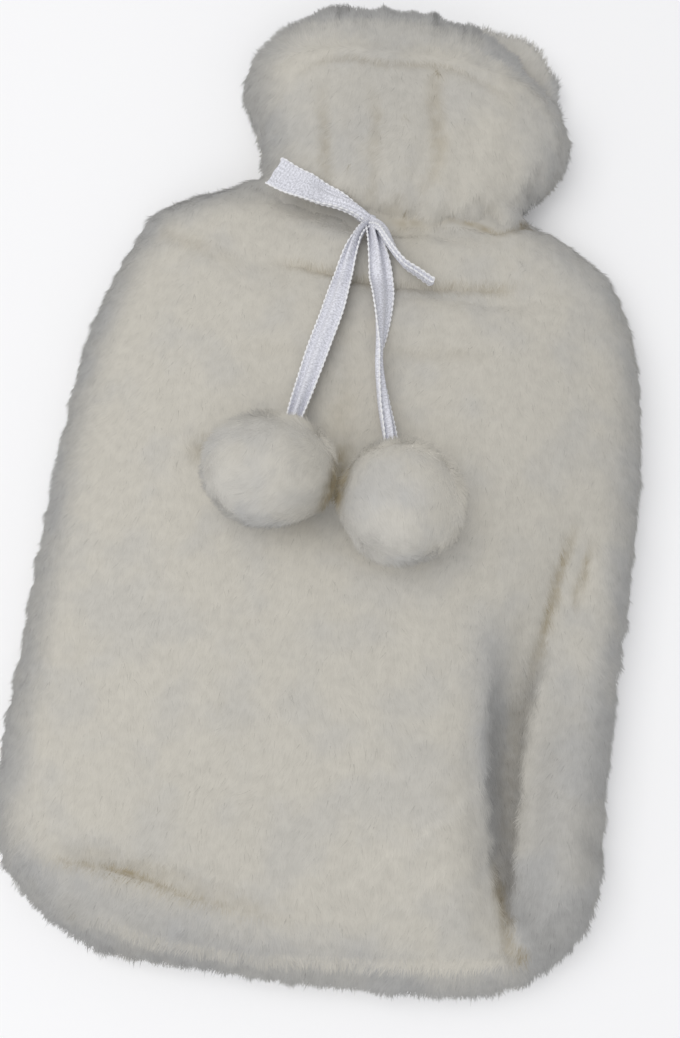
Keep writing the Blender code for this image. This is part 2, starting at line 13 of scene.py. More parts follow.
import bmesh
import bpy
import numpy as np
from bpy.props import FloatProperty, FloatVectorProperty, IntProperty, PointerProperty
from bpy.types import Operator, Panel, PropertyGroup
from mathutils import Matrix, Vector, noise
from mathutils.bvhtree import BVHTree

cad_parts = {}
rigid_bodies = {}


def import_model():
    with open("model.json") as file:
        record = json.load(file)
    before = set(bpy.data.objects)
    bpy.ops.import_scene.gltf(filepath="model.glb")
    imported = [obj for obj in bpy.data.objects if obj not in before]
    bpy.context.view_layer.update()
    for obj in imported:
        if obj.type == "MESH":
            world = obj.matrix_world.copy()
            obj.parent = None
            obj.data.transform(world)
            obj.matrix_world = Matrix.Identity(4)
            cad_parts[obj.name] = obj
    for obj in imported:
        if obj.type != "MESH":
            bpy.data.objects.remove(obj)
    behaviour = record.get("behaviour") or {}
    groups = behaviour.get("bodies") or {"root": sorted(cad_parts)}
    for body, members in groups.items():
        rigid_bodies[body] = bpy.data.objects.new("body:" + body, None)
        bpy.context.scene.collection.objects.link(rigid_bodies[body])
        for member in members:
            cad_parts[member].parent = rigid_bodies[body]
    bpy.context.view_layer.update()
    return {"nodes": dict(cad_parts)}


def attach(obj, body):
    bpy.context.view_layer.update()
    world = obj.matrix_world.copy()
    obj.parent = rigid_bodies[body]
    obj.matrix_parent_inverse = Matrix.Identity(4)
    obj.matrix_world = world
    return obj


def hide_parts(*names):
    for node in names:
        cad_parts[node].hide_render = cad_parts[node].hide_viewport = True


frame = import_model()

bl_info = {
    "name": "Fur Hot Water Bottle Cover",
    "version": (1, 0, 0),
    "blender": (4, 5, 0),
    "location": "View3D > Sidebar > Cover",
    "description": "Grows the pile, ties the satin bow and dresses the pompoms of a fur cover",
    "category": "Object",
}

WELD = 1e-5
JOIN_ANGLE, JOIN_SHAPE = math.radians(60), math.radians(80)

# Camera: above the cover, leaning towards its bottom end and turned about its own axis
CAMERA_LEAN, CAMERA_TURN = math.radians(13), math.radians(8)
CAMERA_AWAY, CAMERA_LENS, SENSOR_HEIGHT, CLIP_START = 0.53, 50, 36, 0.01
CAMERA_AIM = Vector((-0.001, -0.023, 0.010))

# Studio: the floor's half-size and finish, the world's light and colour, and each lamp's
# place, size, power and colour. The lamps point at the middle of the cover
FLOOR_HALF, FLOOR_FINISH = 2.5, {"Base Color": (0.92, 0.92, 0.93, 1), "Roughness": 0.9}
WORLD_LIGHT, WORLD_COLOUR = 0.535, (0.97, 0.98, 1.0, 1)
LAMPS = {
    "key light": ((-0.80, 0.05, 1.80), 1.8, 20.5, (1.0, 0.985, 0.96)),
    "fill light": ((0.1, -1.2, 1.7), 1.4, 7.0, (0.97, 0.98, 1.0)),
}

# The tables of creases, burrs and places along the ribbon give lengths in tenths of a
# millimetre, so many to the metre
TENTHS = 10000

# Small creases pressed into the front. Each has its depth (below zero for a ridge), its
# half-width on the left and on the right of its path, the mean half-width of its colour,
# how much tan, cool grey and shade it paints on the pile, all three as painted shade
# (below zero they paint light instead, as on the ridges), and a path of places (x, y,
# strength)
Crease = namedtuple("Crease", "depth near far spread stain grey shade path")
CREASES = {
    "under the neck": Crease(16, 28, 22, 40, 0.5, 0, 0, (
        (-400, 655, 0), (-285, 643, 0.8), (-172, 628, 1), (-85, 612, 1), (63, 603, 0.7),
        (266, 640, 0.9), (450, 666, 0.9), (570, 708, 0),
    )),
    "grey under the neck": Crease(0, 10, 10, 50, 0, 0.5, 0, (
        (0, 590, 0), (120, 600, 1), (300, 625, 1), (480, 665, 0),
    )),
    "left shoulder": Crease(9, 45, 45, 60, 0.2, 0, 0, (
        (-860, 750, 0), (-806, 737, 1), (-662, 683, 1), (-504, 626, 0),
    )),
    "right of the neck": Crease(22, 22, 22, 24, 0.7, 0, 0, (
        (180, 900, 0), (240, 932, 0.7), (337, 930, 1), (434, 915, 1), (480, 935, 0.9),
        (530, 985, 0.6),
    )),
    "left of the neck": Crease(14, 26, 26, 40, 0.2, 0.4, 0, (
        (-490, 975, 0.6), (-325, 927, 1), (-169, 894, 1), (-68, 872, 0.5),
    )),
    "wrinkle by the knot": Crease(8, 18, 18, 30, 0.3, 0, 0, (
        (20, 900, 0), (60, 885, 1), (130, 900, 1), (190, 880, 0),
    )),
    "head": Crease(0, 10, 10, 420, 0, 0.3, 0.18, (
        (-200, 980, 0.5), (-180, 1200, 1), (-60, 1400, 1),
    )),
    "head, left gather": Crease(4, 26, 26, 40, 0.38, 0, 0, (
        (-305, 1371, 0.2), (-269, 1222, 0.8), (-253, 1106, 1), (-227, 1004, 0.5),
    )),
    "head, right gather": Crease(4, 30, 30, 54, 0.38, 0, 0, (
        (110, 1470, 0.5), (122, 1345, 1), (162, 1189, 1), (168, 1139, 0.8), (145, 1038, 0.5),
        (110, 940, 0),
    )),
    "head, middle gather": Crease(3, 30, 30, 42, 0.3, 0, 0, (
        (-120, 1381, 0.2), (-79, 1251, 1), (-68, 1115, 0.6), (-62, 969, 0.8),
    )),
    "tab by the neck": Crease(14, 50, 50, 60, 0, 0.2, 0.28, (
        (400, 975, 0.8), (445, 960, 1), (500, 965, 1),
    )),
    "spot by the tab": Crease(10, 16, 16, 22, 1.2, 0, 0.7, (
        (522, 978, 1), (542, 988, 1),
    )),
    "hem of the head": Crease(-11, 40, 30, 40, -0.3, -0.2, 0, (
        (-546, 1412, 0.2), (-440, 1464, 0.5), (-315, 1514, 0.9), (-220, 1533, 1), (-92, 1521, 1),
        (-3, 1521, 1), (94, 1539, 1), (185, 1540, 1), (315, 1513, 1), (406, 1510, 0.9),
        (500, 1470, 0.7), (575, 1394, 0.5), (611, 1300, 0.2),
    )),
    "under the hem": Crease(7, 30, 24, 36, 0.35, 0.1, 0, (
        (-394, 1436, 0.2), (-311, 1486, 0.7), (-205, 1497, 1), (-97, 1485, 0.9), (9, 1494, 1),
        (88, 1511, 1), (179, 1505, 0.8), (263, 1474, 0.5), (330, 1450, 0.4), (416, 1424, 0.1),
    )),
    "beyond the hem": Crease(4, 32, 50, 65, 0, 0.3, 0, (
        (-480, 1530, 0.4), (-389, 1592, 1), (-239, 1618, 1), (-59, 1630, 1), (76, 1630, 1),
        (213, 1638, 1), (327, 1618, 1), (436, 1578, 0.8),
    )),
    # painted light by the knot, less grey and a little tan
    "warm by the knot": Crease(0, 10, 10, 100, 0.18, -0.3, -0.12, (
        (30, 920, 1), (110, 840, 1), (140, 760, 0.4),
    )),
    # the left tail's shadow, painted in tan
    "tan shade between the tails": Crease(0, 10, 10, 110, 0.22, 0, 0, (
        (-75, 300, 0.3), (-60, 100, 1), (-45, -20, 1),
    )),
    # shade painted in tan between the pompoms
    "between the pompoms": Crease(0, 10, 10, 45, 1, 0, 0, (
        (-40, -50, 0.3), (-36, -110, 1), (-34, -200, 1),
    )),
    # shade painted in the dimple left of the pompoms
    "left of the pompoms": Crease(10, 60, 60, 80, 0.4, 0.2, 0.2, (
        (-600, -120, 0), (-530, -110, 1), (-450, -80, 1),
    )),
    "trough, left brow": Crease(-22, 90, 30, 30, 0, 0, 0, (
        (570, -600, 0), (562, -857, 0.8), (580, -1060, 1), (613, -1259, 1), (670, -1455, 0.8),
        (715, -1560, 0),
    )),
    "trough, upper tan shade": Crease(14, 26, 26, 30, 0.9, 0, 0, (
        (830, -150, 0), (800, -250, 0.7), (784, -345, 1), (765, -480, 1), (750, -600, 0.6),
        (730, -738, 0),
    )),
    "trough, second tan shade": Crease(12, 22, 22, 26, 0.6, 0, 0, (
        (900, -180, 0), (885, -280, 1), (865, -390, 1), (850, -480, 0),
    )),
    "trough, grey flank": Crease(0, 10, 10, 130, 0, 0.9, 0.34, (
        (500, -480, 0), (560, -640, 0.9), (590, -850, 1), (620, -1060, 0.9), (650, -1259, 0.6),
        (700, -1455, 0),
    )),
    "trough, left wall": Crease(8, 100, 18, 56, 0, 0.4, 0.84, (
        (605, -680, 0), (593, -780, 0.4), (590, -867, 0.8), (595, -957, 1), (606, -1057, 1),
        (621, -1157, 1), (639, -1257, 1), (666, -1357, 0.9), (697, -1452, 0.8), (739, -1547, 0.6),
        (767, -1607, 0),
    )),
    "trough, olive floor": Crease(0, 10, 10, 70, 0.28, 0.4, 0.4, (
        (760, -560, 0), (720, -705, 0.6), (690, -870, 1), (690, -1050, 1), (700, -1250, 1),
        (728, -1450, 0.6),
    )),
    "trough, sharp floor": Crease(12, 16, 50, 40, 0.1, 0.3, 0.84, (
        (790, -600, 0), (770, -700, 0.6), (745, -818, 0.9), (740, -1032, 1), (750, -1241, 1),
        (742, -1448, 0.8), (758, -1560, 0.3),
    )),
    "right of the trough": Crease(0, 10, 10, 170, 0, 0.7, 0.3, (
        (860, -560, 0.2), (860, -850, 0.8), (860, -1200, 1), (860, -1500, 1), (880, -1620, 0.8),
    )),
    "grey by the corner": Crease(10, 40, 40, 90, 0, 1, 0.46, (
        (780, -1400, 0.4), (800, -1500, 1), (860, -1600, 0.9), (960, -1480, 0.7),
    )),
    "fold by the corner": Crease(-10, 30, 30, 30, 0, 0, -0.15, (
        (830, -1190, 0), (900, -1130, 0.8), (970, -1060, 0.8),
    )),
    "notch by the corner": Crease(20, 35, 35, 50, 0.1, 0.3, 0.25, (
        (940, -1230, 0), (990, -1255, 0.8), (1030, -1285, 1), (1080, -1310, 1),
    )),
    "trough, brown end": Crease(18, 20, 26, 34, 0.9, 0, 0, (
        (660, -1330, 0), (700, -1440, 0.8), (740, -1560, 1), (773, -1684, 0.4),
    )),
    "trough, spot": Crease(6, 20, 20, 26, 1, 0, 0, (
        (800, -1650, 1), (810, -1670, 1),
    )),
    "lower left": Crease(14, 30, 16, 24, 0.85, 0, 0, (
        (-880, -1560, 0), (-732, -1566, 0.6), (-612, -1569, 1), (-473, -1590, 1),
        (-332, -1626, 0.7), (-194, -1640, 0.3), (13, -1670, 0),
    )),
    "tan shade over the lower left": Crease(0, 10, 10, 55, 0.2, 0, 0, (
        (-850, -1520, 0), (-710, -1520, 0.7), (-600, -1530, 1), (-450, -1550, 1), (-280, -1585, 1),
        (-120, -1620, 0.7), (100, -1650, 0),
    )),
    "grey under the lower left": Crease(0, 10, 10, 110, 0, 0.7, 0.22, (
        (-880, -1600, 0.5), (-650, -1660, 1), (-400, -1700, 1), (-50, -1730, 0.6),
        (400, -1720, 0.4),
    )),
    "long ridge": Crease(-6, 18, 18, 18, -0.3, 0, -0.35, (
        (190, -1497, 0.3), (370, -1340, 1), (567, -1149, 0.7),
    )),
    "short ridge": Crease(-5, 18, 18, 18, -0.3, 0, -0.35, (
        (380, -1537, 0.3), (512, -1404, 1), (600, -1330, 0.3),
    )),
    "ridge by the bottom": Crease(-18, 28, 28, 26, -0.3, -0.6, -0.3, (
        (-655, -1729, 0.3), (-444, -1783, 1), (-104, -1796, 1), (229, -1763, 1), (562, -1727, 1),
        (747, -1694, 0.8),
    )),
    "left wrinkle": Crease(6, 40, 40, 40, 0.1, 0, 0, (
        (-480, 290, 0), (-330, 290, 1), (-127, 300, 0.5),
    )),
    "right wrinkle": Crease(7, 35, 35, 40, 0.2, 0.1, 0, (
        (80, 352, 0.3), (189, 343, 1), (366, 381, 0.8), (480, 370, 0),
    )),
}

# Burrs in the pile, each a short dark fleck of their own at x, y: their half-size, and how tan and
# how dark they make the pile
BURRS = (
    (-107, -1001), (-714, -1736), (-56, 1254), (13, 1261), (118, 1471), (172, 1429),
    (-161, 1052), (117, 924), (72, 924),
)
BURR, BURR_TAN, BURR_DARKNESS = 0.0006, 0.7, 0.5

# Creases in each pompom's fur, with cool grey and shade painted in them
POMPOM_CREASES = {
    "pompom_left": {
        "upper": Crease(8, 14, 14, 14, 0, 0.3, 0.35, (
            (-240, -205, 0.3), (-190, -208, 1), (-120, -205, 0.8), (-80, -199, 0.2),
        )),
        "middle": Crease(6, 12, 12, 12, 0, 0.3, 0.25, (
            (-280, -269, 0.2), (-211, -241, 1), (-154, -236, 0.3),
        )),
        "lower": Crease(6, 20, 20, 34, 0, 0.4, 0.15, (
            (-200, -310, 0.3), (-140, -305, 1), (-90, -290, 0.3),
        )),
    },
    "pompom_right": {
        "upper": Crease(8, 14, 14, 16, 0, 0.3, 0.25, (
            (220, -110, 0.2), (270, -160, 1), (300, -230, 0.3),
        )),
        "middle": Crease(6, 16, 16, 20, 0, 0.3, 0.15, (
            (100, -170, 0.2), (140, -230, 1), (210, -290, 0.4),
        )),
    },
}
POMPOMS = tuple(POMPOM_CREASES)

# The pompoms: how deep the core lies under the fur's surface, their locks, and the way
# each one's fur sweeps. Each is painted from cool grey shade to cream light in one
# direction, seen from above, has tan and shade painted in the cleft between them and shade
# beside it, and is shorter in and beside it
POMPOM_INSET, POMPOM_LOCKS, POMPOM_LENGTH, POMPOM_RISE = 0.0016, 16000, 0.0060, 0.0020
POMPOM_STRAY, POMPOM_SOFTNESS = 0.25, 0.6
POMPOM_SWEEPS = ((-0.5, -0.75, 0.35), (0.25, -0.8, 0.5))
POMPOM_SWIRL, POMPOM_SWIRL_PITCH, POMPOM_SWIRL_SEED = 0.8, 0.014, 2.2
# The way, seen from above, towards which light is painted on them, the cool grey painted on them
# as shade, and how much less of it is painted that way
LIT_WAY, POMPOM_GREY, POMPOM_GREY_TURN = (0.60, 0.80), 0.1, 0.5
# The cleft's reach and the tan and shade painted in it; beside it, the reach, the painted shade,
# and how much shorter and flatter the fur is
CLEFT_REACH, CLEFT_TAN_SHADE, CLEFT_SHADE = 0.28, 1.5, 0.8
BESIDE_REACH, BESIDE_SHADE, BESIDE_SHORT, BESIDE_FLAT = 0.9, 0.3, 0.6, 0.7
POMPOM_TOP = 0.3  # the slope up to which their creases fade out
POMPOM_LIGHT = 0.08  # how much lighter they are than the panels

# Hollows, where shade is painted into the folds: the size of the grid's cells that heights
# are averaged in and how many cells far, and the depth from which shade is painted in a
# fold and over which it deepens
HOLLOW_CELL, HOLLOW_REACH = 0.001, 13
HOLLOW_START, HOLLOW_DEPTH = 0.0008, 0.0050

# Locks of pile are thin three-sided spikes: the sideways sway of each shape's tip, in
# shares of its width, and how deep its root is, in shares of its rise
TIP_SWAYS = (0.0, 0.9, -0.9, 1.8, -1.8)
ROOT_DEPTH, LOCK_SIDES = 0.07, 3
# From the least to the most of each lock's length, width and rise, in shares of the usual
# ones, and of its tilt and its roll in radians
LENGTHS, WIDTHS, RISES = (0.75, 1.2), (0.7, 1.25), (0.7, 1.2)
TILTS, ROLLS = (-0.12, 0.12), (-0.3, 0.3)
# Clumps: the pitch, the place in the noise and the strength of the coarse and the fine ones
# that turn the locks together, how far both turn them, and those that raise the locks
COARSE_CLUMPS, FINE_CLUMPS, CLUMP_TURN = (0.0065, 0.0, 1.6), (0.0026, 1.7, 1.2), 0.8
TUFTS = (0.0042, 5.1, 1.1)
STRAY = 0.3  # how far each lock turns on its own, in radians
# The share of its skin's normal that a lock's top is shaded with, and the weight of that
# normal on its underside
SOFT_NORMALS, UNDERSIDE = 0.94, 0.9
# Each lock's cell in its map: where the lock starts across and along it, and how far it goes
CELL_ACROSS, CELL_ALONG = (0.2, 0.6), (0.1, 0.8)

# Waves of noise, each a pitch, a seed and a height: lumps in the front's skin, tufts round
# the edge of both skins (flattened along Z), and swirls in the way that the pile lies
LUMPS = ((0.017, 3.3, 0.0005), (0.007, 9.1, 0.00025))
EDGE_TUFTS, EDGE_FLATTEN = ((0.0046, 7.7, 0.0040), (0.013, 4.4, 0.0024)), 0.25
SWIRLS, FRONT_SWIRL, BACK_SWIRL = ((0.045, 1.9, 1.0), (0.016, 6.2, 0.8)), 0.45, 0.5
# The pile lies down the body, turns out at the mouth from a y over a soft border, where it
# fans out with x, and lies over the edge and the seam
MOUTH_Y, MOUTH_BORDER, MOUTH_FAN = 0.142, 0.022, 6
OVER_EDGE, OVER_SEAM = 2.0, 0.9
HEM_Y, HEM_BORDER = 0.118, 0.012  # where the turned-in hem's pile starts inside the mouth
LEVELS = 2  # of subdivision of a skin
OUTER_FACE, OUTER_SOFT = -0.35, 0.30  # the slope from which a face is the panel's outer one
SKIRT, SKIRT_SOFT = 0.85, 0.3  # and the one to which pile grows on round its edge

# Seen from above, a panel's outline is its furthest point in so many directions
OUTLINE_MIDDLE, OUTLINE_STEPS = (0.0, -0.01), 240
# The front's rim, where cool grey and shade are painted as its edge turns from the light:
# its width, how grey and how shaded it is, how that goes from left to right over a
# half-width, with more shade painted on the left, and how far in from it the painted shade
# of the hollows fades
RIM_WIDTH, RIM_GREY, RIM_SHADE, RIM_CLEAR = 0.017, 0.8, 0.52, 0.012
RIM_MEAN, RIM_LEFT, RIM_LEFT_HALF = 1.2, 0.3, 0.06
# The band of fur at the front's mouth, where grey and shade are painted as the lip curves
# away: its y and soft border, its painted grey and shade, and the width, length, place in
# the noise and painted shade of its streaks
LIP_Y, LIP_BORDER, LIP_GREY, LIP_SHADE = 0.158, 0.020, 0.5, 0.15
STREAK_WIDTH, STREAK_LENGTH, STREAK_PLACE, STREAK_SHADE = 0.0022, 0.020, 5.5, 1.5
# The least and the most of the tan, cool grey and shade painted on the front's pile
TAN_SHADE_LIMITS, GREYS, SHADES = (-0.3, 1.2), (-0.5, 1), (-0.5, 1.5)
# How much thicker the pile grows at the mouth and at the sides, how much shorter it is
# there, and how its rise varies at the sides
LIP_GROWTH, SIDE_GROWTH, LIP_SHORT, SIDE_SHORT = 0.6, 0.3, 0.3, 0.3
SIDE_FLAT, SIDE_UNEVEN, SIDE_PITCH, SIDE_SEED = 0.45, 0.9, 0.0045, 8.8
# The back: its rim's width and the cool grey painted there as shade, its band at the mouth,
# with its painted shade, its growth off the sides, how much shorter its pile is at the
# sides, and the lowest that its pile reaches
BACK_RIM, BACK_GREY, BACK_FLOOR = 0.02, 0.5, 0.0001
BACK_LIP_Y, BACK_LIP_BORDER, BACK_LIP_WIDTH, BACK_LIP_SHADE = 0.153, 0.012, 0.008, 0.25
BACK_GROWTH, BACK_SHORT, BACK_RISE = 0.35, 0.4, 0.9

# The front's pile is grown in patches along Y, so that no piece of pile is too large: their
# names, and the y of the middles of the soft borders between them
FRONT_PATCHES = ("front_pile_bottom", "front_pile_middle", "front_pile_top")
PATCH_ENDS, PATCH_BORDER = (-0.075, 0.045), 0.004
FRONT_SEED, BACK_SEED, POMPOM_SEED = 11, 31, 41

# Fur colours. Clouds of noise have a pitch, a detail, and the values that they run between
GREY_CLOUDS = (0.022, 3.0, 0.42, 0.66)
GREYED, FRONT_GREYED, POMPOM_GREYED = 0.6, 0.35, 0.5  # how grey the clouds turn the fur
# Patches that make the painted tan uneven, and how much
TAN_SHADE_PATCHES, TAN_SHADE_UNEVEN = (0.004, 2.0, 0.25, 0.6), 0.5
FINE_PATCHES, FINE_TONE = (0.0035, 1.0, 0.2, 0.8), 0.08
LOCK_TONE = 0.08  # how much the locks differ in tone
DARK_SHARE, DARK_TONE = 0.03, -0.16  # the few dark locks: their share and their tone
# Shade is painted at each lock's root and light at its tip, in place of the shadows that the locks
# don't cast
ROOT_END = 0.8  # the share of a lock's length where it is neither darker nor lighter
ROOT_SHADE, POMPOM_ROOT_SHADE = 0.08, 0.06  # how much darker it is at its root
# How much the painted shade darkens the fur at full strength; below zero it paints light
PAINTED_SHADE_TONE = -0.34  # how much a whole hollow darkens the fur
FUR_FINISH = {
    "Roughness": 0.9, "Specular IOR Level": 0.15, "Sheen Weight": 0.15, "Sheen Roughness": 0.5,
}

# The ribbon as it is tied. Places along each length: x, y, the lift of its middle over the
# cloth, how far it is rolled about its length in degrees, and the share of its width that
# shows, for it is pleated together where that is under 1
KNOT, KNOT_LIFT = (-55, 850), 52
LEFT_TAIL = (
    (*KNOT, KNOT_LIFT, 0, 0.26), (-84, 790, 42, -16, 0.24), (-108, 700, 38, -22, 0.42),
    (-124, 580, 36, -28, 0.62), (-140, 450, 34, -24, 0.7), (-168, 300, 36, -20, 0.68),
    (-190, 170, 42, -16, 0.6), (-206, 70, 64, -6, 0.5), (-216, 5, 90, 0, 0.42),
)
RIGHT_TAIL = (
    (*KNOT, KNOT_LIFT, 0, 0.26), (-29, 768, 40, 10, 0.42), (14, 618, 36, 22, 0.76),
    (34, 500, 42, 46, 0.85), (44, 390, 48, 64, 0.76), (50, 285, 48, 84, 0.62),
    (83, 140, 48, 62, 0.56), (118, 10, 72, 36, 0.44), (135, -60, 95, 10, 0.38),
)
# A loop runs out along its places and back under itself
LEFT_LOOP = (
    (*KNOT, KNOT_LIFT, -30, 0.26), (-112, 876, 76, -30, 0.42), (-204, 908, 86, -26, 0.8),
    (-314, 934, 104, -14, 0.98), (-424, 978, 116, -2, 1),
)
RIGHT_LOOP = (
    (*KNOT, KNOT_LIFT, 20, 0.3), (-12, 806, 56, 52, 0.46), (24, 743, 62, 68, 0.68),
    (56, 698, 66, 74, 0.8), (98, 661, 66, 77, 0.84), (149, 640, 64, 78, 0.84),
    (196, 619, 62, 79, 0.82),
)
# The gap between a loop's two runs half-way along it, half the gap at its ends, the share
# of its upper run's width that its lower run shows, and the steps round its fold
LEFT_GAP, RIGHT_GAP, LOOP_TIP, UNDER_RUN, FOLD_STEPS = 0.0014, 0.0012, 0.0007, 0.84, 7
# The satin's steps along and columns across, over how many steps the height of the cloth
# under it is evened out, its pleats, their depth, and how far its middle sags
STRIP_STEP, STRIP_COLUMNS, GROUND_SMOOTH = 0.0008, 14, 9
PLEATS, PLEAT_DEPTH, STRIP_SAG = 1.5, 0.0034, 0.0004
# The woven edge: its sides, its rows to a bead, and in shares of a bead's length its
# half-width between the beads and how far it swells at them
EDGE_SIDES, ROWS_PER_BEAD, EDGE_THIN, EDGE_SWELL = 6, 6, 0.07, 0.16
# The knot: its half-sizes, how square it is along Y, the depth of its pleats, and how
# close they lie and how far they twist
KNOT_HALF, KNOT_SQUARE = (0.0026, 0.0030, 0.0022), 0.7
KNOT_PLEAT, KNOT_PLEATS, KNOT_TWIST, KNOT_LEVELS = 0.07, 9, 2, 4

# The band round the neck lies in the crease: places (x, y) along the front of the neck
CREASE_LINE = (
    (-0.0502, 0.1033), (-0.0297, 0.0903), (0.0003, 0.0873), (0.0303, 0.0903), (0.0523, 0.1028),
)
# Half the neck's height, the height of its side seams, and how far out the cloth is felt for
NECK_HALF_HEIGHT, NECK_SEAM, NECK_REACH = 0.012, 0.016, 0.020
# The band: its steps, sides and evening out, its half-sizes, how deep it sinks into the
# cloth, and its pleats
BAND_STEPS, BAND_SIDES, BAND_SMOOTH = 120, 12, 5
BAND_HALF_WIDTH, BAND_HALF_DEPTH, BAND_SINK = 0.0014, 0.0006, 0.0022
BAND_PLEATS, BAND_PLEAT = 5, 0.18

# Satin: how fine its grain is along and across, the values that the grain runs between and
# the tones that they give, darker as the yarns' own and lighter as small painted glints,
# its relief, and its colour. The edge is of tight white thread
SATIN_GRAIN, SATIN_TONES = (1100.0, 1700.0, 1.0), (0.35, 0.68, 0.80, 1.25)
SATIN_RELIEF, SATIN_BUMP, SATIN_WHITE = 0.0002, 0.5, (0.66, 0.665, 0.72, 1)
SATIN_FINISH = {"Roughness": 0.38, "Sheen Weight": 0.1}
THREAD_GRAIN, THREAD_TONES = 2500.0, (0.3, 0.7, 0.82, 1.0)
THREAD_WHITE, THREAD_FINISH = (0.88, 0.88, 0.90, 1), {"Roughness": 0.45}


class PileSizes(PropertyGroup):
    """Sizes of the pile."""

    height: FloatProperty(
        name="Pile height", description="How far the skin lies under the pile's surface",
        default=0.0014, min=0.0005, max=0.006, unit="LENGTH",
    )
    length: FloatProperty(
        name="Lock length", description="Length of a lock of pile on the panels",
        default=0.0042, min=0.001, max=0.02, unit="LENGTH",
    )
    width: FloatProperty(
        name="Lock width", description="Width of a lock of pile at its root",
        default=0.00045, min=0.0002, max=0.004, unit="LENGTH",
    )
    front_locks: IntProperty(
        name="Front locks", description="Locks on the front panel", default=176000, min=1000,
    )
    back_locks: IntProperty(
        name="Back locks", description="Locks on the back panel", default=50000, min=1000,
    )


class RibbonSizes(PropertyGroup):
    """Sizes of the ribbon."""

    width: FloatProperty(
        name="Ribbon width", description="Width of the satin ribbon between its beaded edges",
        default=0.012, min=0.003, max=0.04, unit="LENGTH",
    )
    thickness: FloatProperty(
        name="Ribbon thickness", description="Thickness of the satin",
        default=0.0003, min=0.0001, max=0.002, unit="LENGTH",
    )
    bead: FloatProperty(
        name="Edge bead", description="Length of ribbon that each bead of its woven edge takes",
        default=0.0022, min=0.0005, max=0.004, unit="LENGTH",
    )


class PileColours(PropertyGroup):
    """Colours of the pile."""

    cream: FloatVectorProperty(
        name="Cream", description="The fur's warm cream", subtype="COLOR", size=4,
        default=(0.535, 0.51, 0.455, 1), min=0, max=1,
    )
    # Cool grey that the fur clouds over to at random, and that is painted as shade in the folds,
    # on the rims and on the pompoms' shaded sides
    grey: FloatVectorProperty(
        name="Cool grey", description="The fur where it turns cool", subtype="COLOR", size=4,
        default=(0.448, 0.443, 0.432, 1), min=0, max=1,
    )
    # Tan painted as shade in the creases, the trough and the cleft, and the burrs' own colour
    stain: FloatVectorProperty(
        name="Tan", description="The cloth's ground in the creases", subtype="COLOR", size=4,
        default=(0.30, 0.25, 0.16, 1), min=0, max=1,
    )


def add_node(tree, kind, inputs=(), **settings):
    """Add a node with its settings, each input set to a value or linked to an output, and
    give back its outputs."""
    node = tree.nodes.new(kind)
    for name, value in settings.items():
        setattr(node, name, value)
    for key, value in dict(inputs).items():
        if isinstance(value, bpy.types.NodeSocket):
            tree.links.new(value, node.inputs[key])
        else:
            node.inputs[key].default_value = value
    return node.outputs


def add_math(tree, operation, *values, clamp=False):
    """Add a math node and give back its result."""
    return add_node(
        tree, "ShaderNodeMath", enumerate(values), operation=operation, use_clamp=clamp
    )[0]


def new_group(name, kind, inputs, output):
    """A node group with named inputs and one named output, and what it is given."""
    tree = bpy.data.node_groups.new(name, kind)
    for way, sockets in (("INPUT", inputs), ("OUTPUT", output)):
        for title, socket in sockets.items():
            tree.interface.new_socket(title, in_out=way, socket_type=f"NodeSocket{socket}")
    return tree, tree.nodes.new("NodeGroupInput").outputs


def smooth_step(value):
    """From 0 to 1 with soft ends, as value goes from 0 to 1."""
    value = np.clip(value, 0, 1)
    return value * value * (3 - 2 * value)


def unit(vectors):
    """The vectors at length 1."""
    return vectors / np.maximum(np.linalg.norm(vectors, axis=-1, keepdims=True), 1e-9)


def read(items, field, width=1, kind=np.float32):
    """One field of all of a mesh's items, as an array."""
    values = np.empty(len(items) * width, kind)
    items.foreach_get(field, values)
    return values.reshape(-1, width) if width > 1 else values


def points_of(mesh):
    """Where a mesh's points are."""
    return read(mesh.vertices, "co", 3).astype(float)


def normals_of(mesh):
    """Which way a mesh faces at each point."""
    return read(mesh.vertex_normals, "vector", 3).astype(float)


def corners_of(mesh):
    """The number of the point at each corner of a mesh's faces."""
    return read(mesh.loops, "vertex_index", kind=np.int32)


def stored(mesh, name):
    """The number stored at each of a mesh's points."""
    return read(mesh.attributes[name].data, "value")


def store(mesh, **fields):
    """Store numbers or vectors at a mesh's points, or one number at all of them."""
    for name, values in fields.items():
        values = np.asarray(values, np.float32)
        if not values.ndim:
            values = np.full(len(mesh.vertices), values)
        kind, field = ("FLOAT_VECTOR", "vector") if values.ndim == 2 else ("FLOAT", "value")
        attribute = mesh.attributes.get(name) or mesh.attributes.new(name, kind, "POINT")
        attribute.data.foreach_set(field, values.ravel())


def write_points(mesh, points):
    """Give a mesh new places for its points."""
    mesh.vertices.foreach_set("co", points.astype(np.float32).ravel())
    mesh.update()


def through(xs, ys, at):
    """A smooth curve through the points that doesn't overshoot them, read at the places."""
    steps = np.diff(xs)
    slopes = np.diff(ys) / steps
    product, total = slopes[:-1] * slopes[1:], slopes[:-1] + slopes[1:]
    tangents = np.concatenate([slopes[:1], np.zeros(len(xs) - 2), slopes[-1:]])
    same_way = product > 0
    tangents[1:-1][same_way] = 2 * product[same_way] / total[same_way]
    i = np.clip(np.searchsorted(xs, at) - 1, 0, len(xs) - 2)
    t = (at - xs[i]) / steps[i]
    return (
        (1 + 2 * t) * (1 - t) ** 2 * ys[i]
        + t * (1 - t) ** 2 * steps[i] * tangents[i]
        + t**2 * (3 - 2 * t) * ys[i + 1]
        + t**2 * (t - 1) * steps[i] * tangents[i + 1]
    )


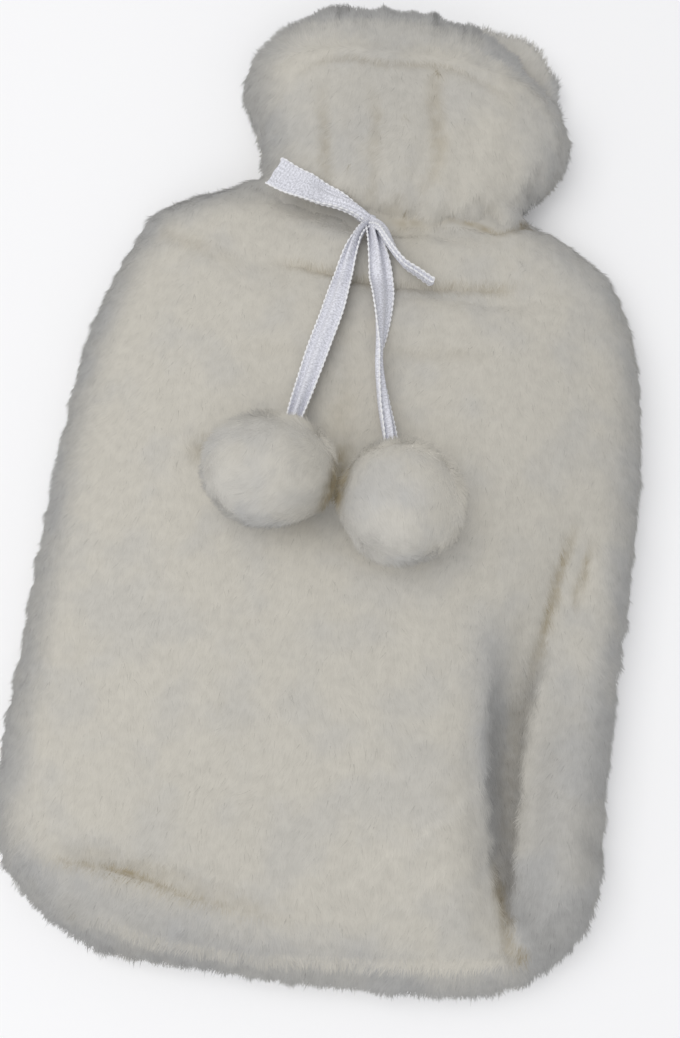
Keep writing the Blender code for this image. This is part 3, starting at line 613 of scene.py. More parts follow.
def distance_to(path, points):
    """How far a path is from each point seen from above, its nearest segment, the nearest
    share of that, and 1 or -1 for the left or the right of the path."""
    start, run = path[:-1], np.diff(path, axis=0)
    dx, dy = (points[:, axis, None] - start[:, axis] for axis in (0, 1))
    share = np.clip((dx * run[:, 0] + dy * run[:, 1]) / (run**2).sum(1), 0, 1)
    away = np.hypot(dx - share * run[:, 0], dy - share * run[:, 1])
    side = np.sign(run[:, 0] * dy - run[:, 1] * dx)
    nearest = away.argmin(1)
    pick = np.arange(len(points)), nearest
    return away[pick], nearest, share[pick], side[pick]


def step_lengths(points):
    """The length of each step along a line of points."""
    return np.linalg.norm(np.diff(points, axis=0), axis=1)


def noise_at(points, pitch, seed):
    """Smooth noise from about -1 to 1 at each point."""
    offset = Vector((seed, seed * 0.7, -seed))
    return np.array([noise.noise(Vector(point) / pitch + offset) for point in points])


def waves_at(points, waves):
    """Some waves of noise together, at each point."""
    return sum(noise_at(points, pitch, seed) * height for pitch, seed, height in waves)


def mesh_object(name, mesh):
    """An object for a mesh, in the scene."""
    obj = bpy.data.objects.new(name, mesh)
    bpy.context.scene.collection.objects.link(obj)
    return obj


def object_from(name, bm, material=None):
    """A smooth-shaded object from a bmesh."""
    mesh = bpy.data.meshes.new(name)
    bm.to_mesh(mesh)
    bm.free()
    mesh.shade_smooth()
    if material:
        mesh.materials.append(material)
    return mesh_object(name, mesh)


def applied(obj):
    """The object with its modifiers applied."""
    graph = bpy.context.evaluated_depsgraph_get()
    mesh = bpy.data.meshes.new_from_object(obj.evaluated_get(graph))
    mesh.name = obj.name
    obj.modifiers.clear()
    obj.data = mesh
    return obj


def subdivided(obj, levels):
    """The object after that many smooth subdivisions."""
    modifier = obj.modifiers.new("smooth", "SUBSURF")
    modifier.levels = modifier.render_levels = levels
    return applied(obj)


def merged(node):
    """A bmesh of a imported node, its loose triangles merged and joined to quads."""
    bm = bmesh.new()
    bm.from_mesh(frame["nodes"][node].data)
    for layer in list(bm.loops.layers.uv):
        bm.loops.layers.uv.remove(layer)
    bmesh.ops.remove_doubles(bm, verts=bm.verts[:], dist=WELD)
    bmesh.ops.join_triangles(
        bm, faces=bm.faces[:], angle_face_threshold=JOIN_ANGLE,
        angle_shape_threshold=JOIN_SHAPE,
    )
    bm.normal_update()
    return bm


def draw_in(bm, depth, layer=None):
    """Draw a bmesh's points in along their normals by a depth, or by the share of it that
    a layer gives."""
    moves = [vert.normal * depth * (1 if layer is None else vert[layer]) for vert in bm.verts]
    for vert, move in zip(bm.verts, moves):
        vert.co -= move


def close_tube(bm):
    """Weld the ends of a grid that runs round, and turn its faces outwards."""
    bmesh.ops.remove_doubles(bm, verts=bm.verts[:], dist=WELD)
    bmesh.ops.recalc_face_normals(bm, faces=bm.faces[:])


def grid_through(bm, points, uv=None, cloth=(1, 1)):
    """Add a grid whose rows and columns run through the points. Where it has a map, its
    cloth, of that half-width and length, is laid out on it."""
    rows, columns = points.shape[0] - 1, points.shape[1] - 1
    made = bmesh.ops.create_grid(bm, x_segments=columns, y_segments=rows, size=1)
    for vert in made["verts"]:
        across, along = vert.co.x, (vert.co.y + 1) / 2
        if uv is not None:
            for corner in vert.link_loops:
                corner[uv].uv = (across * cloth[0], along * cloth[1])
        vert.co = points[round(along * rows), round((across + 1) / 2 * columns)]


# Locks of pile


def lock_shapes():
    """A collection of single locks: each runs along +Y from its root, rises to 1 at its
    tip, and carries how far along it each point lies."""
    collection = bpy.data.collections.new("lock shapes")
    for number, sway in enumerate(TIP_SWAYS):
        bm = bmesh.new()
        bmesh.ops.create_cone(
            bm, segments=LOCK_SIDES, radius1=0.5, radius2=0, depth=1, cap_ends=False,
        )
        bmesh.ops.remove_doubles(bm, verts=bm.verts[:], dist=WELD)
        bmesh.ops.rotate(bm, verts=bm.verts[:], matrix=Matrix.Rotation(-math.pi / 2, 3, "X"))
        bmesh.ops.translate(bm, verts=bm.verts[:], vec=(0, 0.5, 0))
        along = bm.verts.layers.float.new("along")
        for vert in bm.verts:
            tip = vert.co.y > 0.5
            vert.co.x += sway * tip
            vert.co.z = 1 if tip else vert.co.z * ROOT_DEPTH * 2
            vert[along] = float(tip)
        lock = object_from(f"lock shape {number}", bm)
        bpy.context.scene.collection.objects.unlink(lock)
        collection.objects.link(lock)
    return collection


def pile_nodes():
    """Geometry nodes that stand locks on a skin, lying along its comb and off its normal."""
    tree, given = new_group("grow pile", "GeometryNodeTree", {
        "Skin": "Geometry", "Locks": "Collection", "Density": "Float", "Length": "Float",
        "Width": "Float", "Rise": "Float", "Seed": "Int", "Stray": "Float",
    }, {"Pile": "Geometry"})
    node, maths = partial(add_node, tree), partial(add_math, tree)

    def attribute(name, kind="FLOAT"):
        return node("GeometryNodeInputNamedAttribute", {"Name": name}, data_type=kind)[0]

    def random(between, seed):
        inputs = {2: between[0], 3: between[1], "Seed": seed}
        return node("FunctionNodeRandomValue", inputs, data_type="FLOAT")[1]

    def clumps(pitch, place, strength):
        at = {0: node("GeometryNodeInputPosition")[0], 1: (place,) * 3}
        moved = node("ShaderNodeVectorMath", at, operation="ADD")[0]
        inputs = {"Vector": moved, "Scale": 1 / pitch, "Detail": 0.0}
        waves = node("ShaderNodeTexNoise", inputs)[0]
        return maths("MULTIPLY", maths("SUBTRACT", waves, 0.5), strength)

    density = maths("MULTIPLY", given["Density"], attribute("growth"))
    scatter = node(
        "GeometryNodeDistributePointsOnFaces",
        {"Mesh": given["Skin"], "Density": density, "Seed": given["Seed"]},
        distribute_method="RANDOM",
    )
    points = node(
        "GeometryNodeStoreNamedAttribute",
        {"Geometry": scatter["Points"], "Name": "lay", "Value": scatter["Normal"]},
        data_type="FLOAT_VECTOR", domain="POINT",
    )[0]
    upright = node(
        "FunctionNodeAlignRotationToVector", {"Vector": attribute("lay", "FLOAT_VECTOR")},
        axis="Z",
    )[0]
    combed = node(
        "FunctionNodeAlignRotationToVector",
        {"Rotation": upright, "Vector": attribute("comb", "FLOAT_VECTOR")},
        axis="Y", pivot_axis="Z",
    )[0]
    swing = maths("ADD", clumps(*COARSE_CLUMPS), clumps(*FINE_CLUMPS))
    stray = maths("MULTIPLY", random((-1.0, 1.0), 1), given["Stray"])
    spin = maths("ADD", maths("MULTIPLY", swing, CLUMP_TURN), stray)
    turn = node(
        "ShaderNodeCombineXYZ", {0: random(TILTS, 2), 1: random(ROLLS, 3), 2: spin}
    )[0]
    turned = node(
        "FunctionNodeRotateRotation",
        {"Rotation": combed, "Rotate By": node("FunctionNodeEulerToRotation", {0: turn})[0]},
        rotation_space="LOCAL",
    )[0]
    long = maths("MULTIPLY", given["Length"], random(LENGTHS, 4))
    bunch = maths("MULTIPLY", maths("ADD", 1.0, clumps(*TUFTS)), random(RISES, 6))
    rise = maths("MULTIPLY", maths("MULTIPLY", given["Rise"], attribute("high")), bunch)
    size = node("ShaderNodeCombineXYZ", {
        0: maths("MULTIPLY", given["Width"], random(WIDTHS, 5)),
        1: maths("MULTIPLY", long, attribute("long")), 2: rise,
    })[0]
    shapes = node(
        "GeometryNodeCollectionInfo",
        {"Collection": given["Locks"], "Separate Children": True, "Reset Children": True},
    )[0]
    shape = node(
        "FunctionNodeRandomValue", {4: 0, 5: len(TIP_SWAYS) - 1, "Seed": 7}, data_type="INT"
    )[2]
    locks = node("GeometryNodeInstanceOnPoints", {
        "Points": points, "Instance": shapes, "Pick Instance": True, "Instance Index": shape,
        "Rotation": turned, "Scale": size,
    })[0]
    toned = node(
        "GeometryNodeStoreNamedAttribute",
        {"Geometry": locks, "Name": "tone", "Value": random((0.0, 1.0), 8)},
        data_type="FLOAT", domain="INSTANCE",
    )[0]
    node("NodeGroupOutput", {0: node("GeometryNodeRealizeInstances", {0: toned})[0]})
    return tree


def grow_pile(
    name, skin, material, locks, seed, length, width, rise, stray=STRAY,
    softness=SOFT_NORMALS, floor=None,
):
    """A piece of pile on a skin: a joined mesh of so many locks, where the skin's growth
    says, with soft normals and an unwrapped cell for each lock."""
    copy = mesh_object(name, skin.data.copy())
    modifier = copy.modifiers.new("grow", "NODES")
    modifier.node_group = bpy.data.node_groups.get("grow pile") or pile_nodes()
    values = {
        "Locks": bpy.data.collections.get("lock shapes") or lock_shapes(),
        "Density": locks / growth_area(skin.data), "Length": length, "Width": width,
        "Rise": rise, "Seed": seed, "Stray": stray,
    }
    for item in modifier.node_group.interface.items_tree:
        if item.name in values:
            modifier[item.identifier] = values[item.name]
    mesh = applied(copy).data
    if floor is not None:
        points = points_of(mesh)
        points[:, 2] = np.maximum(points[:, 2], floor)
        write_points(mesh, points)
    soften(mesh, softness)
    unwrap_locks(mesh)
    # Shadows between such fine locks would make the short fur look dark and shaggy
    copy.visible_shadow = copy.visible_diffuse = False
    for unused in ("comb", "growth", "long", "high", "lay"):
        if unused in mesh.attributes:
            mesh.attributes.remove(mesh.attributes[unused])
    mesh.materials.clear()
    mesh.materials.append(material)
    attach(copy, "root")
    return copy


def soften(mesh, softness):
    """Shade the locks as a soft mass: the top of each with its skin's normal, its underside
    with the side that it half faces."""
    lay = read(mesh.attributes["lay"].data, "vector", 3)
    flat = read(mesh.polygon_normals, "vector", 3)
    facing = lay[corners_of(mesh)].reshape(-1, 3, 3).mean(1)
    top = unit(softness * facing + (1 - softness) * flat)
    under = unit(flat + UNDERSIDE * facing)
    shown = np.where((flat * facing).sum(1, keepdims=True) > 0, top, under)
    mesh.shade_smooth()
    mesh.normals_split_custom_set(np.repeat(shown, 3, axis=0).astype(np.float32))


def growth_area(mesh):
    """The area of a skin, each face weighted by the growth at its points."""
    growth = stored(mesh, "growth")[corners_of(mesh)]
    starts = read(mesh.polygons, "loop_start", kind=np.int32)
    counts = np.diff(np.append(starts, len(growth)))
    area = np.add.reduceat(growth, starts) / counts * read(mesh.polygons, "area")
    return float(area.sum())


def unwrap_locks(mesh):
    """Give each lock a small cell of its own in a map that its colours can be baked to."""
    corners = corners_of(mesh)
    number = np.arange(len(corners))
    lock = number // (3 * LOCK_SIDES)
    across = math.ceil(math.sqrt(len(corners) // (3 * LOCK_SIDES)))
    along = stored(mesh, "along")[corners]
    u = (lock % across + CELL_ACROSS[0] + CELL_ACROSS[1] * (number % 3 / 2)) / across
    v = (lock // across + CELL_ALONG[0] + CELL_ALONG[1] * along) / across
    layer = mesh.uv_layers.new(name="OFBake")
    layer.data.foreach_set("uv", np.stack([u, v], 1).astype(np.float32).ravel())


# Finishes


def fur_colour_group():
    """Colours of the fur: cream that clouds over to grey at random and where grey is painted as
    shade, tan painted as shade in the creases, each lock a little lighter or darker at
    random, with shade painted at its root, and the painted shade of the folds and rims."""
    tree, given = new_group("fur colour", "ShaderNodeTree", {
        "Cream": "Color", "Grey": "Color", "Stain": "Color", "Clouds": "Float",
        "Depth": "Float",
    }, {"Color": "Color"})
    node, maths = partial(add_node, tree), partial(add_math, tree)
    place = node("ShaderNodeTexCoord")["Object"]

    def attribute(name):
        return node("ShaderNodeAttribute", attribute_name=name)["Fac"]

    def mix(share, first, second, way="MIX"):
        inputs = {0: share, 6: first, 7: second}
        return node("ShaderNodeMix", inputs, data_type="RGBA", blend_type=way)[2]

    def clouds(pitch, detail, low, high):
        inputs = {"Vector": place, "Scale": 1 / pitch, "Detail": detail}
        inputs = {0: node("ShaderNodeTexNoise", inputs)[0], 1: low, 2: high}
        return node("ShaderNodeMapRange", inputs, interpolation_type="SMOOTHSTEP")[0]

    def about(middle, value, strength):
        return maths("MULTIPLY", maths("SUBTRACT", value, middle), strength)

    # The fur clouds over to cool grey at random, and turns grey where grey is painted as shade
    cloudy = maths("MULTIPLY", clouds(*GREY_CLOUDS), given["Clouds"])
    grey = maths("ADD", cloudy, attribute("grey"), clamp=True)
    patches = maths("MULTIPLY", clouds(*TAN_SHADE_PATCHES), TAN_SHADE_UNEVEN)
    uneven = maths("ADD", 1 - TAN_SHADE_UNEVEN, patches)
    stain = maths("MULTIPLY", attribute("stain"), uneven, clamp=True)
    colour = mix(stain, mix(grey, given["Cream"], given["Grey"]), given["Stain"])
    tone = attribute("tone")
    few = node("ShaderNodeMapRange", {0: tone, 1: 0.0, 2: DARK_SHARE, 3: DARK_TONE, 4: 0.0})[0]
    # Each lock's own tone and the fine patches vary at random; the shade at its root, the light at
    # its tip and the shade of the folds and rims are painted
    light = 1.0
    for change in (
        about(0.5, tone, LOCK_TONE), few, about(0.5, clouds(*FINE_PATCHES), FINE_TONE),
        about(ROOT_END, attribute("along"), given["Depth"]),
        maths("MULTIPLY", attribute("hollow"), PAINTED_SHADE_TONE),
    ):
        light = maths("ADD", light, change)
    shade = node("ShaderNodeCombineColor", {0: light, 1: light, 2: light})[0]
    node("NodeGroupOutput", {0: mix(1.0, colour, shade, "MULTIPLY")})
    return tree


def new_material(name, finish):
    """A material with numbers on its shader's sockets, its node tree and its shader."""
    material = bpy.data.materials.new(name)
    material.use_nodes = True
    shader = material.node_tree.nodes["Principled BSDF"]
    for socket, value in finish.items():
        shader.inputs[socket].default_value = value
    return material, material.node_tree, shader


def fur_material(name, clouds=GREYED, depth=ROOT_SHADE):
    """Matte fur with a soft sheen; depth is how much shade is painted at each lock's root."""
    material, tree, shader = new_material(name, FUR_FINISH)
    colours = bpy.context.scene.cover_colours
    colour = add_node(
        tree, "ShaderNodeGroup",
        {
            "Cream": colours.cream, "Grey": colours.grey, "Stain": colours.stain,
            "Clouds": clouds, "Depth": depth,
        },
        node_tree=bpy.data.node_groups.get("fur colour") or fur_colour_group(),
    )[0]
    tree.links.new(colour, shader.inputs["Base Color"])
    return material


def thread_colour(tree, grain, tones, colour):
    """A colour that its threads' grain makes a little darker or lighter."""
    tone = add_node(tree, "ShaderNodeMapRange", {0: grain, **dict(enumerate(tones, 1))})[0]
    return add_node(
        tree, "ShaderNodeMix", {0: 1.0, 6: colour, 7: tone}, data_type="RGBA",
        blend_type="MULTIPLY",
    )[2]


def satin_material():
    """White satin: fine cross-ways yarns, a soft gloss, and a grain that darkens its colour a
    little and paints small glints of light into it.
    """
    material, tree, shader = new_material("white satin", SATIN_FINISH)
    node = partial(add_node, tree)
    uv = node("ShaderNodeUVMap", uv_map="cloth")[0]
    stretched = node("ShaderNodeMapping", {"Vector": uv, "Scale": SATIN_GRAIN})[0]
    grain = node("ShaderNodeTexNoise", {"Vector": stretched, "Scale": 1.0, "Detail": 2.0})[0]
    relief = {"Height": grain, "Distance": SATIN_RELIEF, "Strength": SATIN_BUMP}
    # The grain's lighter tones are painted glints
    white = thread_colour(tree, grain, SATIN_TONES, SATIN_WHITE)
    tree.links.new(white, shader.inputs["Base Color"])
    tree.links.new(node("ShaderNodeBump", relief)[0], shader.inputs["Normal"])
    return material


def edge_material():
    """The ribbon's woven edge: tight white thread."""
    material, tree, shader = new_material("white edging", THREAD_FINISH)
    place = add_node(tree, "ShaderNodeTexCoord")["Object"]
    inputs = {"Vector": place, "Scale": THREAD_GRAIN, "Detail": 1.0}
    thread = add_node(tree, "ShaderNodeTexNoise", inputs)[0]
    white = thread_colour(tree, thread, THREAD_TONES, THREAD_WHITE)
    tree.links.new(white, shader.inputs["Base Color"])
    return material


# Skins


def rim_distance(points):
    """How far each point is from the panel's outline, seen from above."""
    x, y = (points[:, :2] - OUTLINE_MIDDLE).T
    turns, away = (np.arctan2(y, x) + np.pi) / (2 * np.pi), np.hypot(x, y)
    bins = (turns * OUTLINE_STEPS).astype(int) % OUTLINE_STEPS
    ring = []
    for number in range(OUTLINE_STEPS):
        inside = np.flatnonzero(bins == number)
        if len(inside):
            ring.append(points[inside[away[inside].argmax()], :2])
    return distance_to(np.array([*ring, ring[0]]), points)[0]


def skin_of(node, name, sign, height):
    """A panel's skin: its solid with the outer face drawn in by the pile's height and
    subdivided smooth. It stores where the outer face is, up or down by the sign."""
    bm = merged(node)
    outside = bm.verts.layers.float.new("outside")
    for vert in bm.verts:
        vert[outside] = float(smooth_step((vert.normal.z * sign - OUTER_FACE) / OUTER_SOFT))
    draw_in(bm, height, outside)
    return subdivided(object_from(name, bm), LEVELS)


def turned_in(points):
    """How much of the pile a hem that is turned in shows at each point inside the mouth."""
    return smooth_step((points[:, 1] - HEM_Y) / HEM_BORDER)


def crease_marks(creases, points):
    """How deep a set of creases presses each point, and how much tan, cool grey and shade it
    paints there.
    """
    depth, stain, grey, shade = marks = np.zeros((4, len(points)))
    for crease in creases.values():
        path = np.array(crease.path) / (TENTHS, TENTHS, 1)
        deep, near, far, spread = (value / TENTHS for value in crease[:4])
        away, segment, share, side = distance_to(path[:, :2], points)
        strength = path[segment, 2] * (1 - share) + path[segment + 1, 2] * share
        half = np.where(side > 0, near, far)
        depth += deep * strength * smooth_step(1 - away / half)
        colour = strength * smooth_step(1 - away / (spread * 2 * half / (near + far)))
        stain += crease.stain * colour
        grey += crease.grey * colour
        shade += crease.shade * colour
    return marks


def press_creases(mesh):
    """Press the small creases into the front's skin, and give back the tan, cool grey and shade
    that they paint and where it is outside."""
    points, outside = points_of(mesh), stored(mesh, "outside")
    depth, stain, grey, shade = crease_marks(CREASES, points)
    points[:, 2] -= depth * outside
    # The burrs' own tan and darkness go in with the painted tan and shade
    for burr in BURRS:
        x, y = (value / TENTHS for value in burr)
        fleck = smooth_step(2 - 2 * np.hypot(points[:, 0] - x, points[:, 1] - y) / BURR)
        stain += fleck * BURR_TAN
        shade += fleck * BURR_DARKNESS
    points[:, 2] += waves_at(points, LUMPS) * outside
    write_points(mesh, points)
    bump_edge(mesh, outside)
    return stain, grey, shade, outside


def steepness(normals):
    """From 0 where the cloth lies level to 1 where it stands upright."""
    return 1 - np.clip(np.abs(normals[:, 2]), 0, 1)


def bump_edge(mesh, outside):
    """Push the skin's rounded edge in and out a little, as tufts of pile do."""
    points, normals = points_of(mesh), normals_of(mesh)
    bumps = waves_at(points * (1, 1, EDGE_FLATTEN), EDGE_TUFTS)
    write_points(mesh, points + normals * (bumps * steepness(normals) * outside)[:, None])


def comb(mesh, sign, swirl):
    """Store the way that the pile lies on a skin: down the body, on over the bottom edge,
    and out at the mouth. It gives back how steep the skin is."""
    points, normals = points_of(mesh), normals_of(mesh)
    mouth = smooth_step((points[:, 1] - MOUTH_Y) / MOUTH_BORDER)
    nap = np.zeros_like(points)
    nap[:, 0] = points[:, 0] * MOUTH_FAN * mouth
    nap[:, 1] = -1 + 2 * mouth
    nap = unit(nap)
    angle = waves_at(points, SWIRLS)
    cos, sin = np.cos(angle * swirl), np.sin(angle * swirl)
    nap[:, 0], nap[:, 1] = nap[:, 0] * cos - nap[:, 1] * sin, nap[:, 0] * sin + nap[:, 1] * cos
    over = (nap * normals).sum(1)
    over = np.clip(over, 0, 1) if sign > 0 else np.abs(over)
    level = steepness(normals)
    nap[:, 2] -= (over * OVER_EDGE + level * (1 - mouth) * OVER_SEAM) * sign
    store(mesh, comb=on_surface(nap, normals))
    return level


def on_surface(ways, normals):
    """The ways laid flat on the surface, at length 1."""
    return unit(ways - (ways * normals).sum(1, keepdims=True) * normals)


def hollows(points, outside):
    """How far each point lies down in a fold, from 0 to 1: its depth below the mean height
    of the cloth around it. It sets how much shade is painted there."""
    cells = ((points[:, :2] - points[:, :2].min(0)) / HOLLOW_CELL).astype(int)
    place = (cells[:, 0], cells[:, 1])
    heights, weights = np.zeros(cells.max(0) + 1), np.zeros(cells.max(0) + 1)
    np.add.at(heights, place, points[:, 2] * outside)
    np.add.at(weights, place, outside)
    box = np.ones(HOLLOW_REACH)
    for axis in (0, 1, 0, 1):  # twice each way, for soft ends
        heights, weights = (
            np.apply_along_axis(np.convolve, axis, grid, box, mode="same")
            for grid in (heights, weights)
        )
    around = heights[place] / np.maximum(weights[place], 1e-6)
    return smooth_step((around - points[:, 2] - HOLLOW_START) / HOLLOW_DEPTH)


class COVER_OT_front_panel(Operator):
    """Make the front panel's skin and its pile"""

    bl_idname = "cover.front_panel"
    bl_label = "Front Panel"

    def execute(self, context):
        sizes = context.scene.cover_pile
        skin = skin_of("front_panel", "front_skin", 1, sizes.height)
        mesh = skin.data
        stain, grey, shade, outside = press_creases(mesh)
        points = points_of(mesh)
        rim_away = rim_distance(points)
        rim = smooth_step(1 - rim_away / RIM_WIDTH)
        lip = smooth_step((points[:, 1] - LIP_Y) / LIP_BORDER)
        streaks = np.array([
            noise.noise(Vector((x / STREAK_WIDTH, y / STREAK_LENGTH, STREAK_PLACE)))
            for x, y, _ in points
        ])
        # Shade painted on the front: in its folds, over the band at its mouth and its streaks,
        # over its rim, more on the left, and in its creases
        side = RIM_MEAN - RIM_LEFT * np.clip(points[:, 0] / RIM_LEFT_HALF, -1, 1)
        hollow = hollows(points, outside) * smooth_step(rim_away / RIM_CLEAR)
        hollow += lip * (LIP_SHADE + STREAK_SHADE * np.clip(streaks, 0, 1))
        hollow += RIM_SHADE * rim * side + shade
        level = comb(mesh, 1, FRONT_SWIRL)
        skirt = smooth_step((normals_of(mesh)[:, 2] + SKIRT) / SKIRT_SOFT)
        covered = np.maximum(np.maximum(outside, skirt), turned_in(points))
        covered *= 1 + LIP_GROWTH * lip + SIDE_GROWTH * level
        uneven = SIDE_FLAT - SIDE_UNEVEN * noise_at(points, SIDE_PITCH, SIDE_SEED)
        # Cool grey is painted as shade over the rim, the band at the mouth and the creases, and
        # tan as shade in the creases with the burrs' own tan
        store(
            mesh, stain=np.clip(stain, *TAN_SHADE_LIMITS), hollow=np.clip(hollow, *SHADES),
            grey=np.clip(grey + RIM_GREY * rim + LIP_GREY * lip, *GREYS), tone=0.5,
            along=0.5, long=(1 - SIDE_SHORT * level) * (1 - LIP_SHORT * lip),
            high=1 - level * uneven, growth=covered,
        )
        mesh.materials.append(fur_material("cream fur ground", FRONT_GREYED))
        material = fur_material("cream fur pile", FRONT_GREYED)
        whole = growth_area(mesh)
        borders = [
            smooth_step((points[:, 1] - border) / PATCH_BORDER + 0.5)
            for border in (-1.0, *PATCH_ENDS, 1.0)
        ]
        for number, name in enumerate(FRONT_PATCHES):
            store(mesh, growth=covered * (borders[number] - borders[number + 1]))
            locks = int(sizes.front_locks * growth_area(mesh) / whole)
            grow_pile(
                    name, skin, material, locks, FRONT_SEED + number,
                    sizes.length, sizes.width, sizes.height,
                )
        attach(skin, "root")
        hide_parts("front_panel")
        return {"FINISHED"}


class COVER_OT_back_panel(Operator):
    """Make the back panel's skin and its pile"""

    bl_idname = "cover.back_panel"
    bl_label = "Back Panel"

    def execute(self, context):
        sizes = context.scene.cover_pile
        skin = skin_of("back_panel", "back_skin", -1, sizes.height)
        mesh = skin.data
        outside = stored(mesh, "outside")
        bump_edge(mesh, outside)
        points = points_of(mesh)
        level = comb(mesh, -1, BACK_SWIRL)
        rim_away = rim_distance(points)
        skirt = smooth_step((SKIRT - normals_of(mesh)[:, 2]) / SKIRT_SOFT)
        lip = smooth_step((points[:, 1] - BACK_LIP_Y) / BACK_LIP_BORDER)
        off_sides = outside * (BACK_GROWTH + (1 - BACK_GROWTH) * level)
        # Cool grey is painted as shade round the back's rim, and shade over its band at the mouth
        store(
            mesh, stain=0, grey=BACK_GREY * smooth_step(1 - rim_away / BACK_RIM),
            hollow=BACK_LIP_SHADE * lip * smooth_step(1 - rim_away / BACK_LIP_WIDTH),
            tone=0.5, along=0.5, long=1 - BACK_SHORT * level,
            high=BACK_RISE + (1 - BACK_RISE) * level,
            growth=np.maximum(off_sides + turned_in(points) * (1 - outside), skirt * level),
        )
        mesh.materials.append(fur_material("back fur ground"))
        pile = grow_pile(
            "back_pile", skin, fur_material("back fur pile"), sizes.back_locks,
            BACK_SEED, sizes.length, sizes.width, sizes.height, floor=BACK_FLOOR,
        )
        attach(skin, "root")
        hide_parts("back_panel")
        return {"FINISHED"}


class COVER_OT_pompoms(Operator):
    """Make the two fur pompoms"""

    bl_idname = "cover.pompoms"
    bl_label = "Pompoms"

    def execute(self, context):
        sizes = context.scene.cover_pile
        material = fur_material("pompom fur", POMPOM_GREYED, POMPOM_ROOT_SHADE)
        balls = {}
        for node in POMPOMS:
            places = points_of(frame["nodes"][node].data)
            low, high = places.min(0), places.max(0)
            balls[node] = ((low + high) / 2, (high - low) / 2)
        for number, (node, sweep) in enumerate(zip(POMPOMS, POMPOM_SWEEPS)):
            bm = merged(node)
            draw_in(bm, POMPOM_INSET)
            core = subdivided(object_from(f"{node}_core", bm), 1)
            mesh = core.data
            points, normals = points_of(mesh), normals_of(mesh)
            top = smooth_step(normals[:, 2] / POMPOM_TOP)
            depth, stain, grey, shade = crease_marks(POMPOM_CREASES[node], points) * top
            points -= normals * depth[:, None]
            write_points(mesh, points)
            (middle, half), other = balls[node], balls[POMPOMS[1 - number]]
            # How far each point lies towards the side where light is painted, seen from above
            cream = ((points - middle)[:, :2] / half[:2] * LIT_WAY).sum(1)
            gap = np.linalg.norm((points - other[0]) / other[1], axis=1) - 1
            cleft = smooth_step(1 - gap / CLEFT_REACH)
            beside = smooth_step(1 - gap / BESIDE_REACH) - cleft
            swirl = noise_at(points, POMPOM_SWIRL_PITCH, POMPOM_SWIRL_SEED + number)
            nap = sweep + np.stack([swirl, -swirl, swirl * 0.5], 1) * POMPOM_SWIRL
            # Cool grey shade is painted away from the light and in the creases, tan and shade in
            # the cleft, and shade beside it
            store(
                mesh, comb=on_surface(nap, normals), stain=stain + CLEFT_TAN_SHADE * cleft,
                grey=grey + POMPOM_GREY - POMPOM_GREY_TURN * cream,
                hollow=shade + CLEFT_SHADE * cleft + BESIDE_SHADE * beside - POMPOM_LIGHT,
                tone=0.5, along=0.5, long=1 - BESIDE_SHORT * beside,
                high=1 - BESIDE_FLAT * beside, growth=1,
            )
            mesh.materials.append(fur_material(f"{node} ground", POMPOM_GREYED))
            grow_pile(
                f"{node}_pile", core, material, POMPOM_LOCKS,
                POMPOM_SEED + number, POMPOM_LENGTH, sizes.width, POMPOM_RISE,
                stray=POMPOM_STRAY, softness=POMPOM_SOFTNESS,
            )
            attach(core, "root")
            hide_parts(node)
        return {"FINISHED"}


# Ribbon


def tree_of(*names):
    """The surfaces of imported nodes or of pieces, to lay the ribbon over."""
    bm = bmesh.new()
    for name in names:
        bm.from_mesh(bpy.data.objects[name].data)
    tree = BVHTree.FromBMesh(bm)
    bm.free()
    return tree


def height_at(tree, x, y):
    """The height of the cloth's top at a place."""
    return tree.ray_cast(Vector((x, y, 1)), Vector((0, 0, -1)))[0].z


def frames_of(places, tree):
    """A length of ribbon at even steps: its middle points, the directions across it and
    out of its face, and the share of its width that shows."""
    table = np.array(places) / (TENTHS, TENTHS, TENTHS, 1, 1)
    along = np.concatenate([[0], np.cumsum(np.hypot(*np.diff(table[:, :2], axis=0).T))])
    at = np.linspace(0, along[-1], math.ceil(along[-1] / STRIP_STEP) + 1)
    x, y, lift, roll, width = (through(along, column, at) for column in table.T)
    ground = np.array([height_at(tree, *place) for place in zip(x, y)])
    ground = np.pad(ground, GROUND_SMOOTH // 2, mode="edge")
    ground = np.convolve(ground, np.ones(GROUND_SMOOTH) / GROUND_SMOOTH, mode="valid")
    middle = np.stack([x, y, ground + lift], 1)
    run = unit(np.gradient(middle, axis=0))
    sideways = unit(np.stack([run[:, 1], -run[:, 0], np.zeros(len(run))], 1))
    upwards = np.cross(sideways, run)
    roll = np.radians(roll)[:, None]
    across = sideways * np.cos(roll) + upwards * np.sin(roll)
    return middle, across, unit(np.cross(across, run)), width


def loop_frames(places, gap, tree):
    """A bow's loop: out from the knot, round a fold and back under itself."""
    middle, across, facing, width = frames_of(places, tree)
    run = unit(np.gradient(middle, axis=0))
    t = np.linspace(0, 1, len(middle))
    half_gap = (LOOP_TIP + (gap / 2 - LOOP_TIP) * np.sin(np.pi * t))[:, None]
    turn = np.linspace(0, np.pi, FOLD_STEPS)[1:-1, None]
    fold = run[-1] * np.sin(turn) + facing[-1] * np.cos(turn)
    under = (middle - facing * half_gap)[::-1]
    middle = np.vstack([middle + facing * half_gap, middle[-1] + LOOP_TIP * fold, under])
    across = np.vstack([across, np.repeat(across[-1:], len(fold), 0), across[::-1]])
    facing = np.vstack([facing, fold, -facing[::-1]])
    narrowing = np.linspace(1, UNDER_RUN, len(fold)) * width[-1]
    return middle, across, facing, np.concatenate([width, narrowing, UNDER_RUN * width[::-1]])


